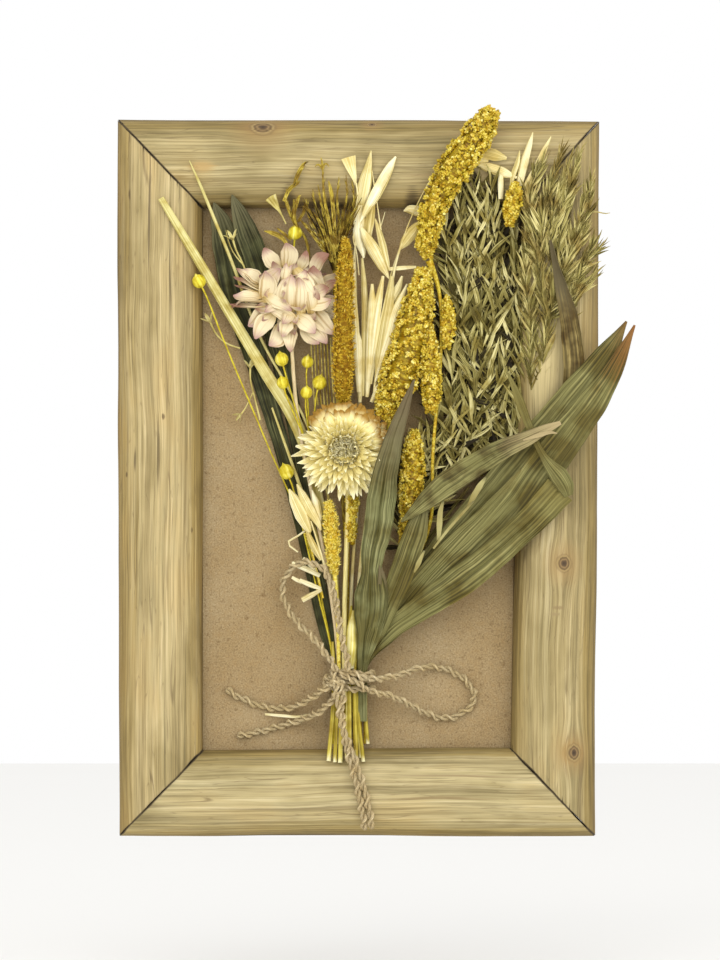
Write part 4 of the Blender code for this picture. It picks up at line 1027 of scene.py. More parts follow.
# --- Opened husks ---
# Flax calyces that have lost their capsule: five pointed sepals spread in a star, pale straw coloured, on
# stalks like hairs. The top one has a fork.
husk_straw = dry_plant(
    "dried husk, pale straw", [(0.30, "#A3923F"), (0.45, "#CDBE6C"), (0.60, "#E2D793"), (0.75, "#F3ECBF")],
    veins=3, long=8, rough=0.6,
)
star_sepal = make_strip([(0, 0, 0, 0.5), (1.2, 0, 1.2, 0.75), (2.4, 0, 2.6, 0.6), (3.4, 0, 3.4, 0.05)],
    (0.15, 0, 0.15), 6, 0)
for number, (node, stem, size) in enumerate((
    ("husk_top", [(-44.4, 78.6, 10.2, 0.37), (-48.1, 89.4, 11.2, 0.37), (-50.6, 94.4, 12.6, 0.37),
        (-51.9, 98.6, 13.8, 0.5)], 1.0),
    ("husk_left", [(-49, 53.7, 10.2, 0.37), (-53.9, 55.4, 10.2, 0.37), (-58.5, 59.1, 10.6, 0.37),
        (-61.4, 64.5, 11.2, 0.5)], 1.0),
    ("husk_mid", [(-40.7, 23.9, 9, 0.37), (-43.2, 34.2, 9, 0.37), (-44.8, 41.3, 9.2, 0.37),
        (-44.8, 45.4, 9.4, 0.46)], 0.95),
)):
    tip, before = Vector(stem[-1][:3]), Vector(stem[-2][:3])
    run = (tip - before).normalized() + Vector((0, 0, 0.35))
    star = [aim(tip, run, math.tau * turn / 5 + number) @ Matrix.Scale(size, 4) for turn in range(5)]
    parts = [make_stalk(stem, 6), plant_copies([star_sepal], star, [0.5] * 5)]
    if node == "husk_top":
        # A torn leaf sheath, open in a small triangle, stands by the top pole.
        parts.append(make_strip([(-29.9, 105.2, 13.6, 0.21), (-31.5, 108.5, 15.6, 0.29),
            (-32.8, 110.8, 17.4, 0.58), (-34.7, 113.7, 19.2, 1.6), (-36.3, 116.2, 20.4, 2.5)],
            (0.3, 0.05, -0.1, 0.05, 0.3), 14, 0.16, 0.08, 6))
        parts.append(make_stalk([(-47.7, 88.2, 11, 0.29), (-51.9, 93.6, 12, 0.29), (-53.9, 98.6, 13, 0.29),
            (-54.8, 102.7, 14, 0.12)], 5))
    if node == "husk_mid":
        fork = [(-43.6, 35.5, 9, 0.25), (-45.6, 31.3, 9, 0.25), (-46.9, 28.8, 9.4, 0.25),
            (-48.6, 26.4, 9.6, 0.37)]
        parts.append(make_stalk(fork, 5))
        parts.append(plant_copies(
            [star_sepal], [aim(fork[-1][:3], (-0.8, -0.6, 0.4), turn * 1.26) @ Matrix.Scale(0.8,
                4) for turn in range(5)],
            [0.3] * 5,
        ))
    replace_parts(stand_up(join_pieces(parts), node.replace("husk", "star_husk"), husk_straw), node)


# --- Pink strawflower ---
# An everlasting flower cut half open. Its papery bracts are stiff and glossy, cream at the foot and
# mauve-pink towards the point: broad ones spread round it, and the pale inner ones are still closed over
# the middle.


def dry_bract(name, foot, middle, tip, stain, faded):
    """A papery bract: its colour runs from foot to tip, and a copy with a high tone is stained."""
    paper, tree, shader = new_material(name, 0.5)
    shader.inputs["Specular IOR Level"].default_value = 0.3
    # Streaks run from foot to point, and shallow stains lie across them.
    value, streak = read_fibres(tree, 3.5, 9.0, 53.0)
    reach = add(tree, "Math", {0: streak, 1: 0.5, 2: value["end"]}, operation="MULTIPLY_ADD")
    colour = add(
        tree, "ValToRGB", {"Fac": add(tree, "Math", {0: reach, 1: 0.25}, operation="SUBTRACT")},
        stops=[(0.05, foot), (0.38, middle), (0.66, middle), (0.98, tip)],
    )
    stained = add(tree, "Math", {0: value["tone"], 1: 1.0, 2: -0.5}, operation="MULTIPLY_ADD")
    stained = add(tree, "Math", {0: streak, 1: 0.5, 2: stained}, operation="MULTIPLY_ADD")
    stained = add(tree, "Math",
        {0: add(tree, "Math", {0: value["end"], 1: 0.75}, operation="SUBTRACT"), 1: 1.5, 2: stained},
        operation="MULTIPLY_ADD")
    stained = add(tree, "MapRange", {"Value": stained, 1: 0.2, 2: 0.75, 3: 0, 4: 0.95})
    colour = add(tree, "Mix", {"Factor": stained, 6: colour, 7: stain}, data_type="RGBA")
    lines = add(tree, "ValToRGB", {"Fac": streak}, stops=[(0.34, faded), (0.50, "#FFFFFF")])
    colour = add(tree, "Mix", {"Factor": 0.8, 6: colour, 7: lines}, data_type="RGBA", blend_type="MULTIPLY")
    tree.links.new(colour.outputs[2], shader.inputs["Base Color"])
    creases = add(tree, "Bump", {"Height": streak, "Strength": 0.3, "Distance": 0.0004})
    tree.links.new(creases.outputs[0], shader.inputs["Normal"])
    return paper


def make_rings(centre, lean, patterns, rings, seed):
    """Rings of bracts about a centre.

    A ring is (count, reach, height, lift in degrees, length, tone, pattern).
    """
    rng = random.Random(seed)
    places, tones, chosen = [], [], []
    for count, reach, height, lift, length, tone, pattern in rings:
        start = rng.random()
        for number in range(count):
            turn = math.tau * (number + start + rng.uniform(-0.2, 0.2)) / count
            places.append(
                Matrix.Translation(centre) @ lean @ Matrix.Rotation(turn, 4, "Z")
                @ Matrix.Translation((reach, 0, height + rng.uniform(-0.3, 0.3)))
                @ Matrix.Rotation(-math.radians(lift + rng.uniform(-7, 7)), 4, "Y")
                @ Matrix.Rotation(rng.uniform(-0.25, 0.25), 4, "X")
                @ Matrix.Scale((length(turn) if callable(length) else length) * rng.uniform(0.88, 1.08), 4)
            )
            tones.append(tone(turn, rng) if callable(tone) else tone + rng.uniform(-0.15, 0.15))
            chosen.append(patterns[pattern][number % len(patterns[pattern])])
    order = [plant_copies([pattern], [place], [tone]) for pattern, place, tone in zip(chosen, places, tones)]
    return join_pieces(order)


# Bract patterns are one unit long: spread ones bend back at the point, and closed ones hook over the middle.
BRACT_CUP = (0.42, 0.16, 0.02, 0.16, 0.42)
spread_bracts = [
    make_strip(
        [(0, 0, 0, 0.10), (0.2, 0, 0.0, 0.17), (0.45, side, 0.03, 0.235), (0.7, side, 0.08, wide),
            (0.88, 0, up * 0.6, wide * 0.62),
         (1.0, -side, up, 0.02)],
        BRACT_CUP, 10, 0.02, crinkle, 7, 0.5,
    )
    for side, up, crinkle, wide in (
        (0.02, 0.1, 0.14, 0.18), (-0.04, 0.24, 0.2, 0.235), (0.0, -0.06, 0.12, 0.15),
        (0.06, 0.04, 0.24, 0.22), (-0.02, 0.16, 0.2, 0.17),
    )
]
closed_bracts = [
    make_strip(
        [(0, 0, 0, 0.13), (0.3, 0, -0.02, 0.24), (0.58, side, 0.04, 0.28), (0.82, side, 0.2, 0.21),
            (0.96, 0, 0.38, 0.1),
         (1.0, 0, 0.5, 0.012)],
        BRACT_CUP, 9, 0.02,
    )
    for side in (0.02, -0.03)
]
bud_bracts = [
    make_strip(
        [(0, 0, 0, 0.12), (0.24, 0, 0.16, 0.22), (0.52, side, 0.24, 0.235), (0.78, side, 0.2, 0.18),
            (0.94, 0, 0.09, 0.1),
         (1.0, 0, 0.0, 0.02)],
        (-0.62, -0.2, 0.0, -0.2, -0.62), 10, 0.02,
    )
    for side in (0.02, -0.03)
]


def lay_bracts(patterns, bracts):
    """Bracts set one by one: (foot, point, half width, turn on its own length in degrees, tone)."""
    places, tones = [], []
    for foot, point, half, roll, tone in bracts:
        run = Vector(point) - Vector(foot)
        places.append(
            Matrix.Translation(foot) @ run.to_track_quat("X", "Z").to_matrix().to_4x4()
            @ Matrix.Rotation(math.radians(roll), 4,
                "X") @ Matrix.Diagonal((run.length, half / 0.235, run.length, 1))
        )
        tones.append(tone)
    return plant_copies(patterns, places, tones)


pink_paper = dry_bract("papery bract, mauve and cream", "#CDB26E", "#E6D6AE", "#B8948A", "#946A56", "#C2AA84")
PINK_CENTRE = Vector((-27.0, 75.4, 14.2))
PINK_LEAN = Matrix.Rotation(math.radians(11), 4, "Y") @ Matrix.Rotation(math.radians(-6), 4, "X")
pink_rings = [
    (15, 4.5, -1.8, 2, 13.0, 0.45, "spread"),
    (12, 4.0, -0.2, 22, 11.0, 0.25, "spread"),
    (9, 3.0, 1.6, 46, 9.6, 0.1, "closed"),
]
outer_pink = [
    ((-32.8, 86.1, 14.2), (-39.4, 95, 15.6), 3.6, 8, 0.5),
    ((-29, 86.1, 14.6), (-29, 97.5, 16.4), 3.6, -6, 0.25),
    ((-24.1, 86.1, 14.2), (-21.2, 94, 15.6), 2.7, 10, 0.95),
    ((-19.5, 83.6, 14.6), (-12.4, 93, 17), 3.1, -22, 1.05),
    ((-16.2, 80.7, 15), (-6.6, 85.5, 17.4), 2.7, 30, 0.8),
    ((-17, 75.3, 15.4), (-7.1, 81.3, 18.2), 2.7, -30, 1.1),
    ((-17.4, 72.8, 14.6), (-8.3, 75.3, 16.4), 2.6, 20, 0.3),
    ((-16.6, 69.9, 14), (-8.7, 71.2, 15.4), 2.2, -26, 0.5),
    ((-16.2, 68.7, 13.6), (-8.7, 66.6, 14.6), 2.2, 12, 0.15),
    ((-19.5, 69.9, 15.2), (-9.3, 58.7, 17), 4, -8, 0.3),
    ((-22.8, 66.2, 15.4), (-12.4, 55.8, 16), 3.7, 10, 0.25),
    ((-23.7, 64.9, 14.6), (-17, 54.6, 15.2), 3.2, -14, 0.2),
    ((-28.2, 63.7, 15), (-28, 52.1, 15.8), 3.4, 6, 0.25),
    ((-31.5, 63.7, 14.4), (-36.1, 54.2, 15), 3.7, -10, -0.1),
    ((-34.9, 69.1, 16), (-42.7, 57.3, 16.8), 4.1, 8, 0.1),
    ((-37.4, 70.8, 14.4), (-45.4, 62.5, 15), 3.6, -6, 0.05),
    ((-37.4, 70.8, 16.2), (-52.7, 68.5, 16.6), 1.9, 66, 0.95),
    ((-37.8, 72.8, 16.6), (-52.5, 71.2, 17.2), 1.9, 78, 0.6),
    ((-38.2, 75.3, 16.8), (-51.7, 74.5, 17.8), 2.7, 34, 0.25),
    ((-41.1, 76.6, 16.4), (-51.5, 78.2, 17.2), 1.7, 72, 1.0),
    ((-39.8, 77, 16.8), (-52.1, 82, 18), 2.1, 58, 0.9),
    ((-40.7, 78.6, 16.4), (-51.5, 84.9, 17.2), 2.2, 48, 0.55),
    ((-39, 80.7, 15.2), (-48.1, 86.3, 16), 3.1, 18, -0.1),
]
inner_pink = [
    ((-39.8, 75.3, 17), (-32, 86.7, 20.6), 4.4, -14, 0.0),
    ((-38.2, 72.4, 17.4), (-36.5, 85.7, 20.2), 4, -22, -0.1),
    ((-16.6, 73.7, 17.2), (-22.8, 85.9, 20.8), 4.3, 16, 0.6),
    ((-15.4, 76.6, 16.4), (-19.5, 87.4, 19), 3.7, 20, 0.9),
    ((-24.5, 64.5, 18), (-38.2, 71.6, 19), 3, -12, 0.35),
    ((-25.7, 67.4, 18.6), (-17.4, 60, 18.6), 3.6, 8, 0.2),
    ((-22, 71.2, 19), (-10.8, 72.4, 19.6), 2.9, -18, 0.3),
    ((-28.2, 66.2, 18.4), (-31.5, 58.3, 17.8), 3.2, 6, 0.1),
    ((-20.8, 73.7, 19.4), (-12.4, 79.1, 20.6), 3.2, 22, 0.8),
]
bud_pink = [
    ((-29, 68.3, 18.6), (-27.8, 84, 21.8), 5.2, 0, 0.0),
    ((-23.2, 67.4, 18.8), (-24.5, 83.2, 22.4), 3.7, 10, 0.45),
    ((-38.2, 76.2, 18.4), (-27.4, 69.1, 20.8), 3.7, -14, -0.1),
    ((-26.6, 86.1, 20.4), (-15.8, 73.7, 20), 3.9, 14, 0.5),
    ((-18.7, 67.9, 18.4), (-21.2, 81.5, 21.4), 3.6, 24, 0.6),
    ((-30.7, 80.3, 20.4), (-29.7, 88.6, 23.4), 1.9, -10, -0.2),
    ((-32, 80.3, 19.6), (-27.4, 87.8, 22.6), 1.7, 14, 0.1),
    ((-25.3, 80.3, 20.6), (-21.6, 85.7, 23), 2.2, 6, 0.5),
]
pink_parts = [
    make_rings(PINK_CENTRE, PINK_LEAN, {"spread": spread_bracts, "closed": closed_bracts}, pink_rings, 4),
    lay_bracts(spread_bracts, outer_pink), lay_bracts(spread_bracts, inner_pink),
    lay_bracts(bud_bracts, bud_pink),
]
pink_parts.append(make_stalk([
    *tied(-8, 12.8, 0.95), (-11.8, -45, 13, 0.8), (-20.5, 0, 13.3, 0.75),
    (-25.4, 29, 13.6, 0.75), (-27.4, 52, 13.4, 0.8), (-28.0, 66, 13.4, 1.2), (-27.6, 74, 14.4, 3.0),
], 10))
set_all(pink_parts[-1], "end", 0.3)
pink_head = stand_up(join_pieces(pink_parts), "everlasting_pink", pink_paper)
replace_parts(pink_head, "strawflower_pink")


# --- Cream strawflower ---
# The same kind, pale yellow and fully open, with dozens of narrow pointed bracts and a ragged grey-olive disc
# of florets. The bracts along its top are the oldest, and have gone rust brown.
thorn_bracts = [
    make_strip(
        [(0, 0, 0, 0.06), (0.3, side, 0.05, 0.10), (0.6, side, 0.13, 0.105), (0.84, 0, 0.22, 0.06),
            (1.0, 0, up, 0.008)],
        (0.5, 0.1, 0.5), 7, 0.015,
    )
    for side, up in ((0.03, 0.3), (-0.04, 0.42), (0.0, 0.2))
]
cream_paper = dry_bract("papery bract, pale yellow", "#DAC874", "#F6EAA6", "#FFFAD4", "#9E7210", "#DACA8C")
CREAM_CENTRE = Vector((-5.8, 11.4, 19.6))


def under_the_rim(length):
    """Bracts are shorter where the brown rim stands over them."""
    return lambda turn: length * (1 - 0.32 * math.sqrt(max(0.0, math.sin(turn + 0.25))))


cream_rings = [
    (38, 6.6, -2.4, 0, under_the_rim(14.0), 0.1, "thorn"),
    (38, 6.6, -1.2, 9, under_the_rim(13.6), 0.05, "thorn"),
    (36, 6.4, 0.0, 21, under_the_rim(12.6), 0.0, "thorn"),
    (34, 6.2, 1.2, 36, under_the_rim(11.4), 0.0, "thorn"),
    (30, 5.8, 2.2, 52, under_the_rim(9.6), 0.05, "thorn"),
    (24, 5.4, 2.8, 70, 7.0, 0.1, "thorn"),
]
# The rim: broad brown bracts that overlap like tiles along the top and right of the head.
rng = random.Random(17)
rim_bracts = []
for layer, (count, first, last, reach,
    height) in enumerate(((26, -6, 140, 20.8, -2.4), (25, 0, 134, 19.6, 0.4), (22, 6, 122, 17.8, 2.2))):
    for number in range(count):
        turn = math.radians(first + (last - first) * number / (count - 1) + rng.uniform(-4, 4))
        out = Vector((math.cos(turn), math.sin(turn), 0))
        foot = CREAM_CENTRE + out * (reach - 8.4) + Vector((0, 0, height + 0.6))
        point = CREAM_CENTRE + out * (reach + rng.uniform(-1.0, 0.4)) + Vector((0, 0,
            height + rng.uniform(-0.8, 0.4)))
        rim_bracts.append((foot, point, rng.uniform(1.5, 2.7), rng.uniform(-35, 35),
            rng.uniform(0.85, 1.2) - 0.07 * layer))
cream_parts = [
    make_rings(CREAM_CENTRE, Matrix.Identity(4), {"thorn": thorn_bracts}, cream_rings, 9),
    lay_bracts(bud_bracts, rim_bracts),
]
cream_parts.append(make_stalk([
    (-5.8, -92, 15.1, 0.95), (-5.8, -78, 15.1, 0.95), (-5.6, -55, 15.6, 1.0), (-4.9, -30, 15.4, 1.0),
    (-4.2, -9, 15.6, 1.0), (-4.8, 4, 17.4, 2.0), (-5.4, 10, 19.4, 6.0),
], 10))
set_all(cream_parts[-1], "end", 0.25)
cream_head = stand_up(join_pieces(cream_parts), "everlasting_cream", cream_paper)
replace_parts(cream_head, "strawflower_cream")
# The disc: short dead florets that stand on end, each a thin frayed tube.
floret_brown = dry_plant(
    "dead florets, grey olive", [(0.24, "#867C4A"), (0.40, "#C4BA80"), (0.54, "#DAD09C"), (0.74, "#FBF6D4")],
    veins=2, long=2, patch=1.5, faded="#A09672", rough=0.9,
)
bpy.ops.object.select_all(action="DESELECT")
bpy.ops.mesh.primitive_cone_add(vertices=5, radius1=0.34, radius2=0.12, depth=1, location=(0, 0, 0.5))
floret_pattern = bpy.context.object
only(floret_pattern)
bpy.ops.object.transform_apply(location=True, rotation=True, scale=True)
note_upright(floret_pattern)
rng = random.Random(31)
disc_places = []
for number in range(280):
    reach, turn = 6.6 * math.sqrt(rng.random()), rng.random() * math.tau
    foot = CREAM_CENTRE + Vector((reach * math.cos(turn), reach * math.sin(turn), 2.6))
    lean = Vector((rng.gauss(0, 1.1), rng.gauss(0, 1.1), 1))
    disc_places.append(aim(foot, lean) @ Matrix.Diagonal((1, 1, rng.uniform(2.2, 5.2), 1)))
disc = plant_copies([floret_pattern], disc_places, [rng.uniform(-0.4, 2.2) for _ in disc_places])
stand_up(disc, "everlasting_disc", floret_brown)


# --- Grass spikes ---
# Canary and foxtail type spikes, dyed golden brown or bright yellow. Hundreds of short bristly florets sit
# close along a stem and point upwards and out.
spike_gold = dry_plant(
    "bristly grass florets, golden brown",
    [(0.26, "#8A6C0C"), (0.42, "#BC9A24"), (0.58, "#DDBE3A"), (0.76, "#F6E07A")],
    veins=1.5, long=0.8, patch=2.2, faded="#D8BC60", rough=0.8,
)
spike_bright = dry_plant(
    "bristly grass florets, bright yellow",
    [(0.24, "#B89E2C"), (0.40, "#EAD450"), (0.56, "#FBEC7C"), (0.76, "#FFFAC4")],
    veins=1.5, long=0.8, patch=2.2, faded="#ECD684", rough=0.8,
)
bpy.ops.object.select_all(action="DESELECT")
bpy.ops.mesh.primitive_cone_add(vertices=5, radius1=0.3, radius2=0.03, depth=1.0, location=(0, 0, 0.5))
bristle_pattern = bpy.context.object
bpy.ops.object.transform_apply(location=True, rotation=True, scale=True)
bpy.ops.object.mode_set(mode="EDIT")
pick(bristle_pattern, "EDGE", lambda edge: abs(edge.verts[0].co.z - edge.verts[1].co.z) > 0.9)
bpy.ops.mesh.subdivide(number_cuts=2)
pick(bristle_pattern, "VERT", lambda point: 0.2 < point.co.z < 0.5)
bpy.ops.transform.resize(value=(1.5, 1.5, 1), center_override=(0, 0, 0.33))
bpy.ops.object.mode_set(mode="OBJECT")
only(bristle_pattern)
bpy.ops.object.shade_smooth()
note_upright(bristle_pattern)


# The florets sit in tufts of five that fan out round z.
rng = random.Random(8)
tuft_patterns = []
for number in range(5):
    places = []
    for step in range(5):
        lean = Vector((rng.gauss(0, 0.55), rng.gauss(0, 0.55), 1))
        foot = Vector((rng.uniform(-0.7, 0.7), rng.uniform(-0.7, 0.7), 0))
        places.append(aim(foot, lean) @ Matrix.Diagonal((0.85, 0.85, rng.uniform(1.2, 1.9), 1)))
    tuft_patterns.append(plant_copies([bristle_pattern], places, [rng.uniform(-0.8, 0.8) for _ in places]))


def straight_length(points):
    """The length of the straight lines between a route's places."""
    return sum((Vector(b[:3]) - Vector(a[:3])).length for a, b in zip(points, points[1:]))


def walk(points, gap):
    """Places along a route at a gap in millimetres, as (place, direction, radius, share of the way)."""
    total = straight_length(points)
    stations, done, left = [], 0.0, 0.0
    for a, b in zip(points, points[1:]):
        start, end = Vector(a[:3]), Vector(b[:3])
        length = (end - start).length
        while left < length:
            share = left / length
            stations.append(
                (start.lerp(end, share), (end - start).normalized(), a[3] + (b[3] - a[3]) * share,
                    (done + left) / total)
            )
            left += gap
        left -= length
        done += length
    return stations


# Each tuft stands this far round from the one before, in radians, so that no rows form.
GOLDEN_TURN = 2.39996


def square_out(run, turn):
    """The direction square to a stem, at this turn round it."""
    out = Vector((math.cos(turn), 0, math.sin(turn)))
    return (out - run * out.dot(run)).normalized()


def make_spike(points, count, size, seed, lift=0.9):
    """A bristly head: tufts of florets all round a route, as thick as its radius.

    lift is how far they lean forwards.
    """
    rng = random.Random(seed)
    gap = straight_length(points) / count
    places, tones = [], []
    for number, (place, run, radius, share) in enumerate(walk(points, gap)):
        out = square_out(run, number * GOLDEN_TURN + rng.uniform(-0.4, 0.4))
        foot = place + out * max(radius - size * 0.7, 0.1) * rng.uniform(0.82, 1.0)
        lean = out + run * lift * rng.uniform(0.6, 1.5) + Vector((rng.gauss(0, 0.15), 0, rng.gauss(0, 0.15)))
        places.append(aim(foot, lean, rng.uniform(0, math.tau)) @ Matrix.Scale(size, 4))
        tones.append(rng.uniform(-0.4, 0.4))
    return plant_copies(tuft_patterns, places, tones)


def shaped_core(points, share, tone=-1.4):
    """A stem as thick as a share of a head's radius, which closes the gaps between its florets."""
    core = make_stalk([(*point[:3], max(point[3] * share, 0.3)) for point in points], 10)
    set_all(core, "tone", tone)
    return core


brown_spike = [
    (-6.0, 31, 15.0, 2.4), (-6.2, 38, 18.4, 4.4), (-6.2, 46, 20.2, 4.9), (-5.8, 62, 21.2, 4.6),
    (-5.4, 78, 21.2, 4.2),
    (-5.2, 88, 20.2, 3.4), (-5.2, 95, 19.4, 2.2), (-5.2, 99, 19.0, 0.9),
]
parts = [make_spike(brown_spike, 500, 0.98, 2), shaped_core(brown_spike, 0.72)]
parts.append(make_stalk([
    *tied(-5.8, 12.8, 0.8), (-5.0, -55, 12.7, 0.7), (-4.2, -10, 12.4, 0.7),
    (-5.8, 22, 13.0, 0.7), (-6.0, 32, 15.4, 0.9),
], 8))
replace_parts(stand_up(join_pieces(parts), "grass_spike_brown", spike_gold), "spike_brown")
bright_spike = [
    (-9.8, -40, 16.2, 1.2), (-10.2, -35, 16.8, 2.6), (-10.6, -26, 17.4, 3.4), (-11.4, -17, 17.6, 3.1),
    (-12.4, -10, 17.6, 1.6),
]
orange_spike = [(-20.2, -26, 13.8, 0.6), (-20.6, -23, 14.0, 1.5), (-20.6, -19, 14.0, 0.6)]
parts = [make_spike(bright_spike, 215, 0.92, 3), shaped_core(bright_spike, 0.7)]
parts += [make_spike(orange_spike, 20, 0.9, 4), shaped_core(orange_spike, 0.6)]
parts.append(make_stalk([
    (-8, -92, 15.1, 0.8), (-8, -78, 15.1, 0.8), (-8.6, -55, 15.6, 0.8), (-9.8, -38, 16.0, 0.9),
], 8))
parts.append(make_stalk([(-14.5, -50, 13.6, 0.4), (-18.5, -33, 13.8, 0.4), (-20.3, -25, 13.9, 0.5)], 6))
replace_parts(stand_up(join_pieces(parts), "grass_spike_yellow", spike_bright), "spike_yellow")


# --- Bristle grass and needles ---
# A fan of thin jointed grass blades and bristly side spikes, olive yellow with brown between, that spread
# from one stem over the top rail. Beside it is a sprig of short flat needles.
bristle_olive = dry_plant(
    "dried bristle grass, olive yellow",
    [(0.18, "#34260A"), (0.40, "#8E7620"), (0.57, "#C4AE42"), (0.74, "#E8DA82")],
    veins=2, long=5, patch=3.5, faded="#9C8448", rough=0.68,
)
fan_blades = [
    [(-10.4, 89.4, 13.8, 0.5), (-14.1, 101.9, 15.6, 1.1), (-19.1, 109.4, 18.8, 0.83),
        (-22.8, 112.3, 20.4, 0.17)],
    [(-9.5, 91.1, 14.6, 0.5), (-12, 105.2, 16.6, 0.75), (-14.1, 116.8, 21.4, 0.5),
        (-14.7, 128.4, 23.2, 0.17)],
    [(-9.1, 93.6, 14.8, 0.5), (-10, 106.9, 16.8, 0.75), (-11.2, 118.5, 22, 0.83), (-12.2, 122.6, 23, 0.17)],
    [(-9.1, 94.4, 15.2, 0.46), (-6.2, 104.4, 16.4, 0.75), (-2.5, 109.8, 18.6, 0.62),
        (-0.4, 111.4, 19.8, 0.17)],
    [(-8.7, 96.1, 14.6, 0.37), (-6.2, 108.5, 16.4, 0.37), (-4.6, 116.8, 21.4, 0.29), (-5, 125.1, 23, 0.12)],
    [(-11.2, 91.1, 14, 0.41), (-15.8, 106.9, 16.2, 0.54), (-18.3, 115.2, 20.6, 0.33),
        (-18.7, 119.3, 21.8, 0.12)],
    [(-10, 92.3, 14, 0.41), (-12.9, 103.5, 15.8, 0.58), (-15.4, 114.3, 20.2, 0.41), (-16.6, 121, 22.4, 0.12)],
    [(-8.3, 94.4, 14.2, 0.41), (-7.9, 106, 15.6, 0.46), (-8.7, 115.2, 20.2, 0.33), (-7.9, 124.3, 22.6, 0.12)],
    [(-10.8, 89.4, 13.6, 0.41), (-17.4, 98.6, 14.4, 0.54), (-22, 104.4, 16.4, 0.41),
        (-24.1, 106.9, 17.2, 0.12)],
    [(-7.5, 94.4, 14.2, 0.41), (-3.7, 103.5, 15.4, 0.46), (-1.7, 115.2, 19.8, 0.29),
        (-2.5, 122.6, 22.4, 0.12)],
    [(-10, 91.9, 13.6, 0.37), (-13.7, 98.6, 14, 0.37), (-20.3, 107.7, 17.4, 0.29),
        (-21.2, 115.2, 20.6, 0.12)],
    [(-7.5, 95.2, 14.2, 0.37), (-5, 100.2, 14.6, 0.5), (-3.3, 106, 16.2, 0.37), (-2.9, 110.2, 18, 0.12)],
]
rng = random.Random(12)
parts = [make_strip(points, (0.3, 0, 0.3), 16, 0.16, 0.05, number) for number,
    points in enumerate(fan_blades)]
places, tones = [], []
for points in fan_blades:
    for place, run, radius, share in walk(points, 1.1):
        if share < 0.92:
            side = rng.choice((-1, 1))
            lean = run * 1.6 + Vector((run.y * side, -run.x * side,
                rng.uniform(-0.2, 0.7))) * rng.uniform(0.2, 0.7)
            places.append(aim(place, lean) @ Matrix.Diagonal((0.55, 0.55, rng.uniform(1.8, 4.2), 1)))
            tones.append(rng.uniform(-1.3, 1))
for number in range(420):
    turn = rng.uniform(-0.7, 0.56)
    reach = rng.uniform(0, 19)
    foot = Vector((-9.8 + reach * math.sin(turn), 90 + reach * math.cos(turn),
        12.4 + 0.18 * reach + rng.uniform(-1, 1.4)))
    places.append(aim(foot,
        (math.sin(turn) + rng.gauss(0, 0.2), 1, 0.25)) @ Matrix.Diagonal((0.6, 0.6, rng.uniform(2, 5), 1)))
    tones.append(rng.uniform(-2.2, 0.8))
parts.append(plant_copies([bristle_pattern], places, tones))
# Thin strands, dark brown, stand behind the blades as painted shade in the gaps between them.
for number in range(18):
    reach, top = rng.uniform(-1, 0.8), rng.uniform(23, 31)
    strand = make_stalk([
        (-9.6 + reach, 86, 12.6, 0.25), (-9.6 + reach * 6, 86 + top * 0.5, 14.4, 0.28),
        (-9.6 + reach * 11, 86 + top * 0.84, 19.4, 0.26), (-9.6 + reach * 14, 86 + top, 21.2, 0.12),
    ], 4)
    set_all(strand, "tone", -1.5 + 0.8 * reach)
    parts.append(strand)
for number, points in enumerate((
    [(-14.7, 127.6, 23.2, 0.5), (-16.6, 129.3, 23.4, 0.37), (-17.8, 128.4, 23.4, 0.12)],
    [(-14.7, 127.6, 23.2, 0.5), (-13.3, 129.7, 23.4, 0.37), (-12, 128.4, 23.4, 0.12)],
    [(-14.7, 127.2, 23.2, 0.5), (-14.9, 130.5, 23.6, 0.41), (-15.4, 132.2, 23.6, 0.12)],
)):
    parts.append(make_strip(points, (0.3, 0, 0.3), 8, 0.14))
parts.append(make_stalk([
    *tied(-3.6, 8.2, 0.8), (-4.6, -40, 8.4, 0.7), (-8, 20, 8.8, 0.7),
    (-9.4, 70, 9.6, 0.9), (-9.6, 92, 12.8, 1.1), (-9.8, 97, 14.6, 0.8),
], 8))
# Thin stems of cut side spikes stand in a row behind the pods.
for number in range(7):
    x = -19.6 + 1.35 * number
    parts.append(make_stalk([(x + 1.6, 30, 9.4, 0.3), (x + 0.6, 44, 10.0, 0.3), (x, 58, 10.6, 0.26)], 5))
    set_all(parts[-1], "tone", 1.2 - 0.5 * (number % 3))
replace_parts(stand_up(join_pieces(parts), "bristle_fan", bristle_olive), "bristle_grass")
sprig_blades = [
    [(-30.7, 114.3, 20.8, 0.66), (-28.2, 119.3, 22, 0.79), (-24.9, 121.8, 22.8, 0.66),
        (-24.1, 122.4, 23, 0.17)],
    [(-26.6, 120.1, 22.2, 0.66), (-24.9, 125.1, 22.8, 0.91), (-22.8, 128.9, 23.2, 0.75),
        (-21.6, 130.5, 23.4, 0.17)],
    [(-26.1, 104.4, 14.6, 0.58), (-26.6, 109.4, 17, 0.91), (-25.3, 113.9, 19.8, 0.91),
        (-24.1, 116.8, 21, 0.25)],
    [(-26.6, 106, 14.8, 0.5), (-29, 111.8, 17.8, 0.66), (-29.9, 116.8, 20.6, 0.5),
        (-28.6, 120.1, 21.6, 0.12)],
    [(-24.9, 106, 14.8, 0.5), (-22.4, 110.2, 17.4, 0.66), (-22, 113.5, 19, 0.12)],
    [(-29, 96.1, 12, 0.5), (-31.5, 99.4, 12.6, 1.0), (-35.7, 101.5, 13, 0.91), (-39, 102.3, 13.2, 0.17)],
    [(-27.8, 98.6, 12.4, 0.41), (-30.7, 101.1, 13.2, 0.66), (-33.6, 103.5, 13.6, 0.25)],
]
parts = [make_strip(points, (0.3, 0, 0.3), 12, 0.16, 0.05, number) for number,
    points in enumerate(sprig_blades)]
places, tones = [], []
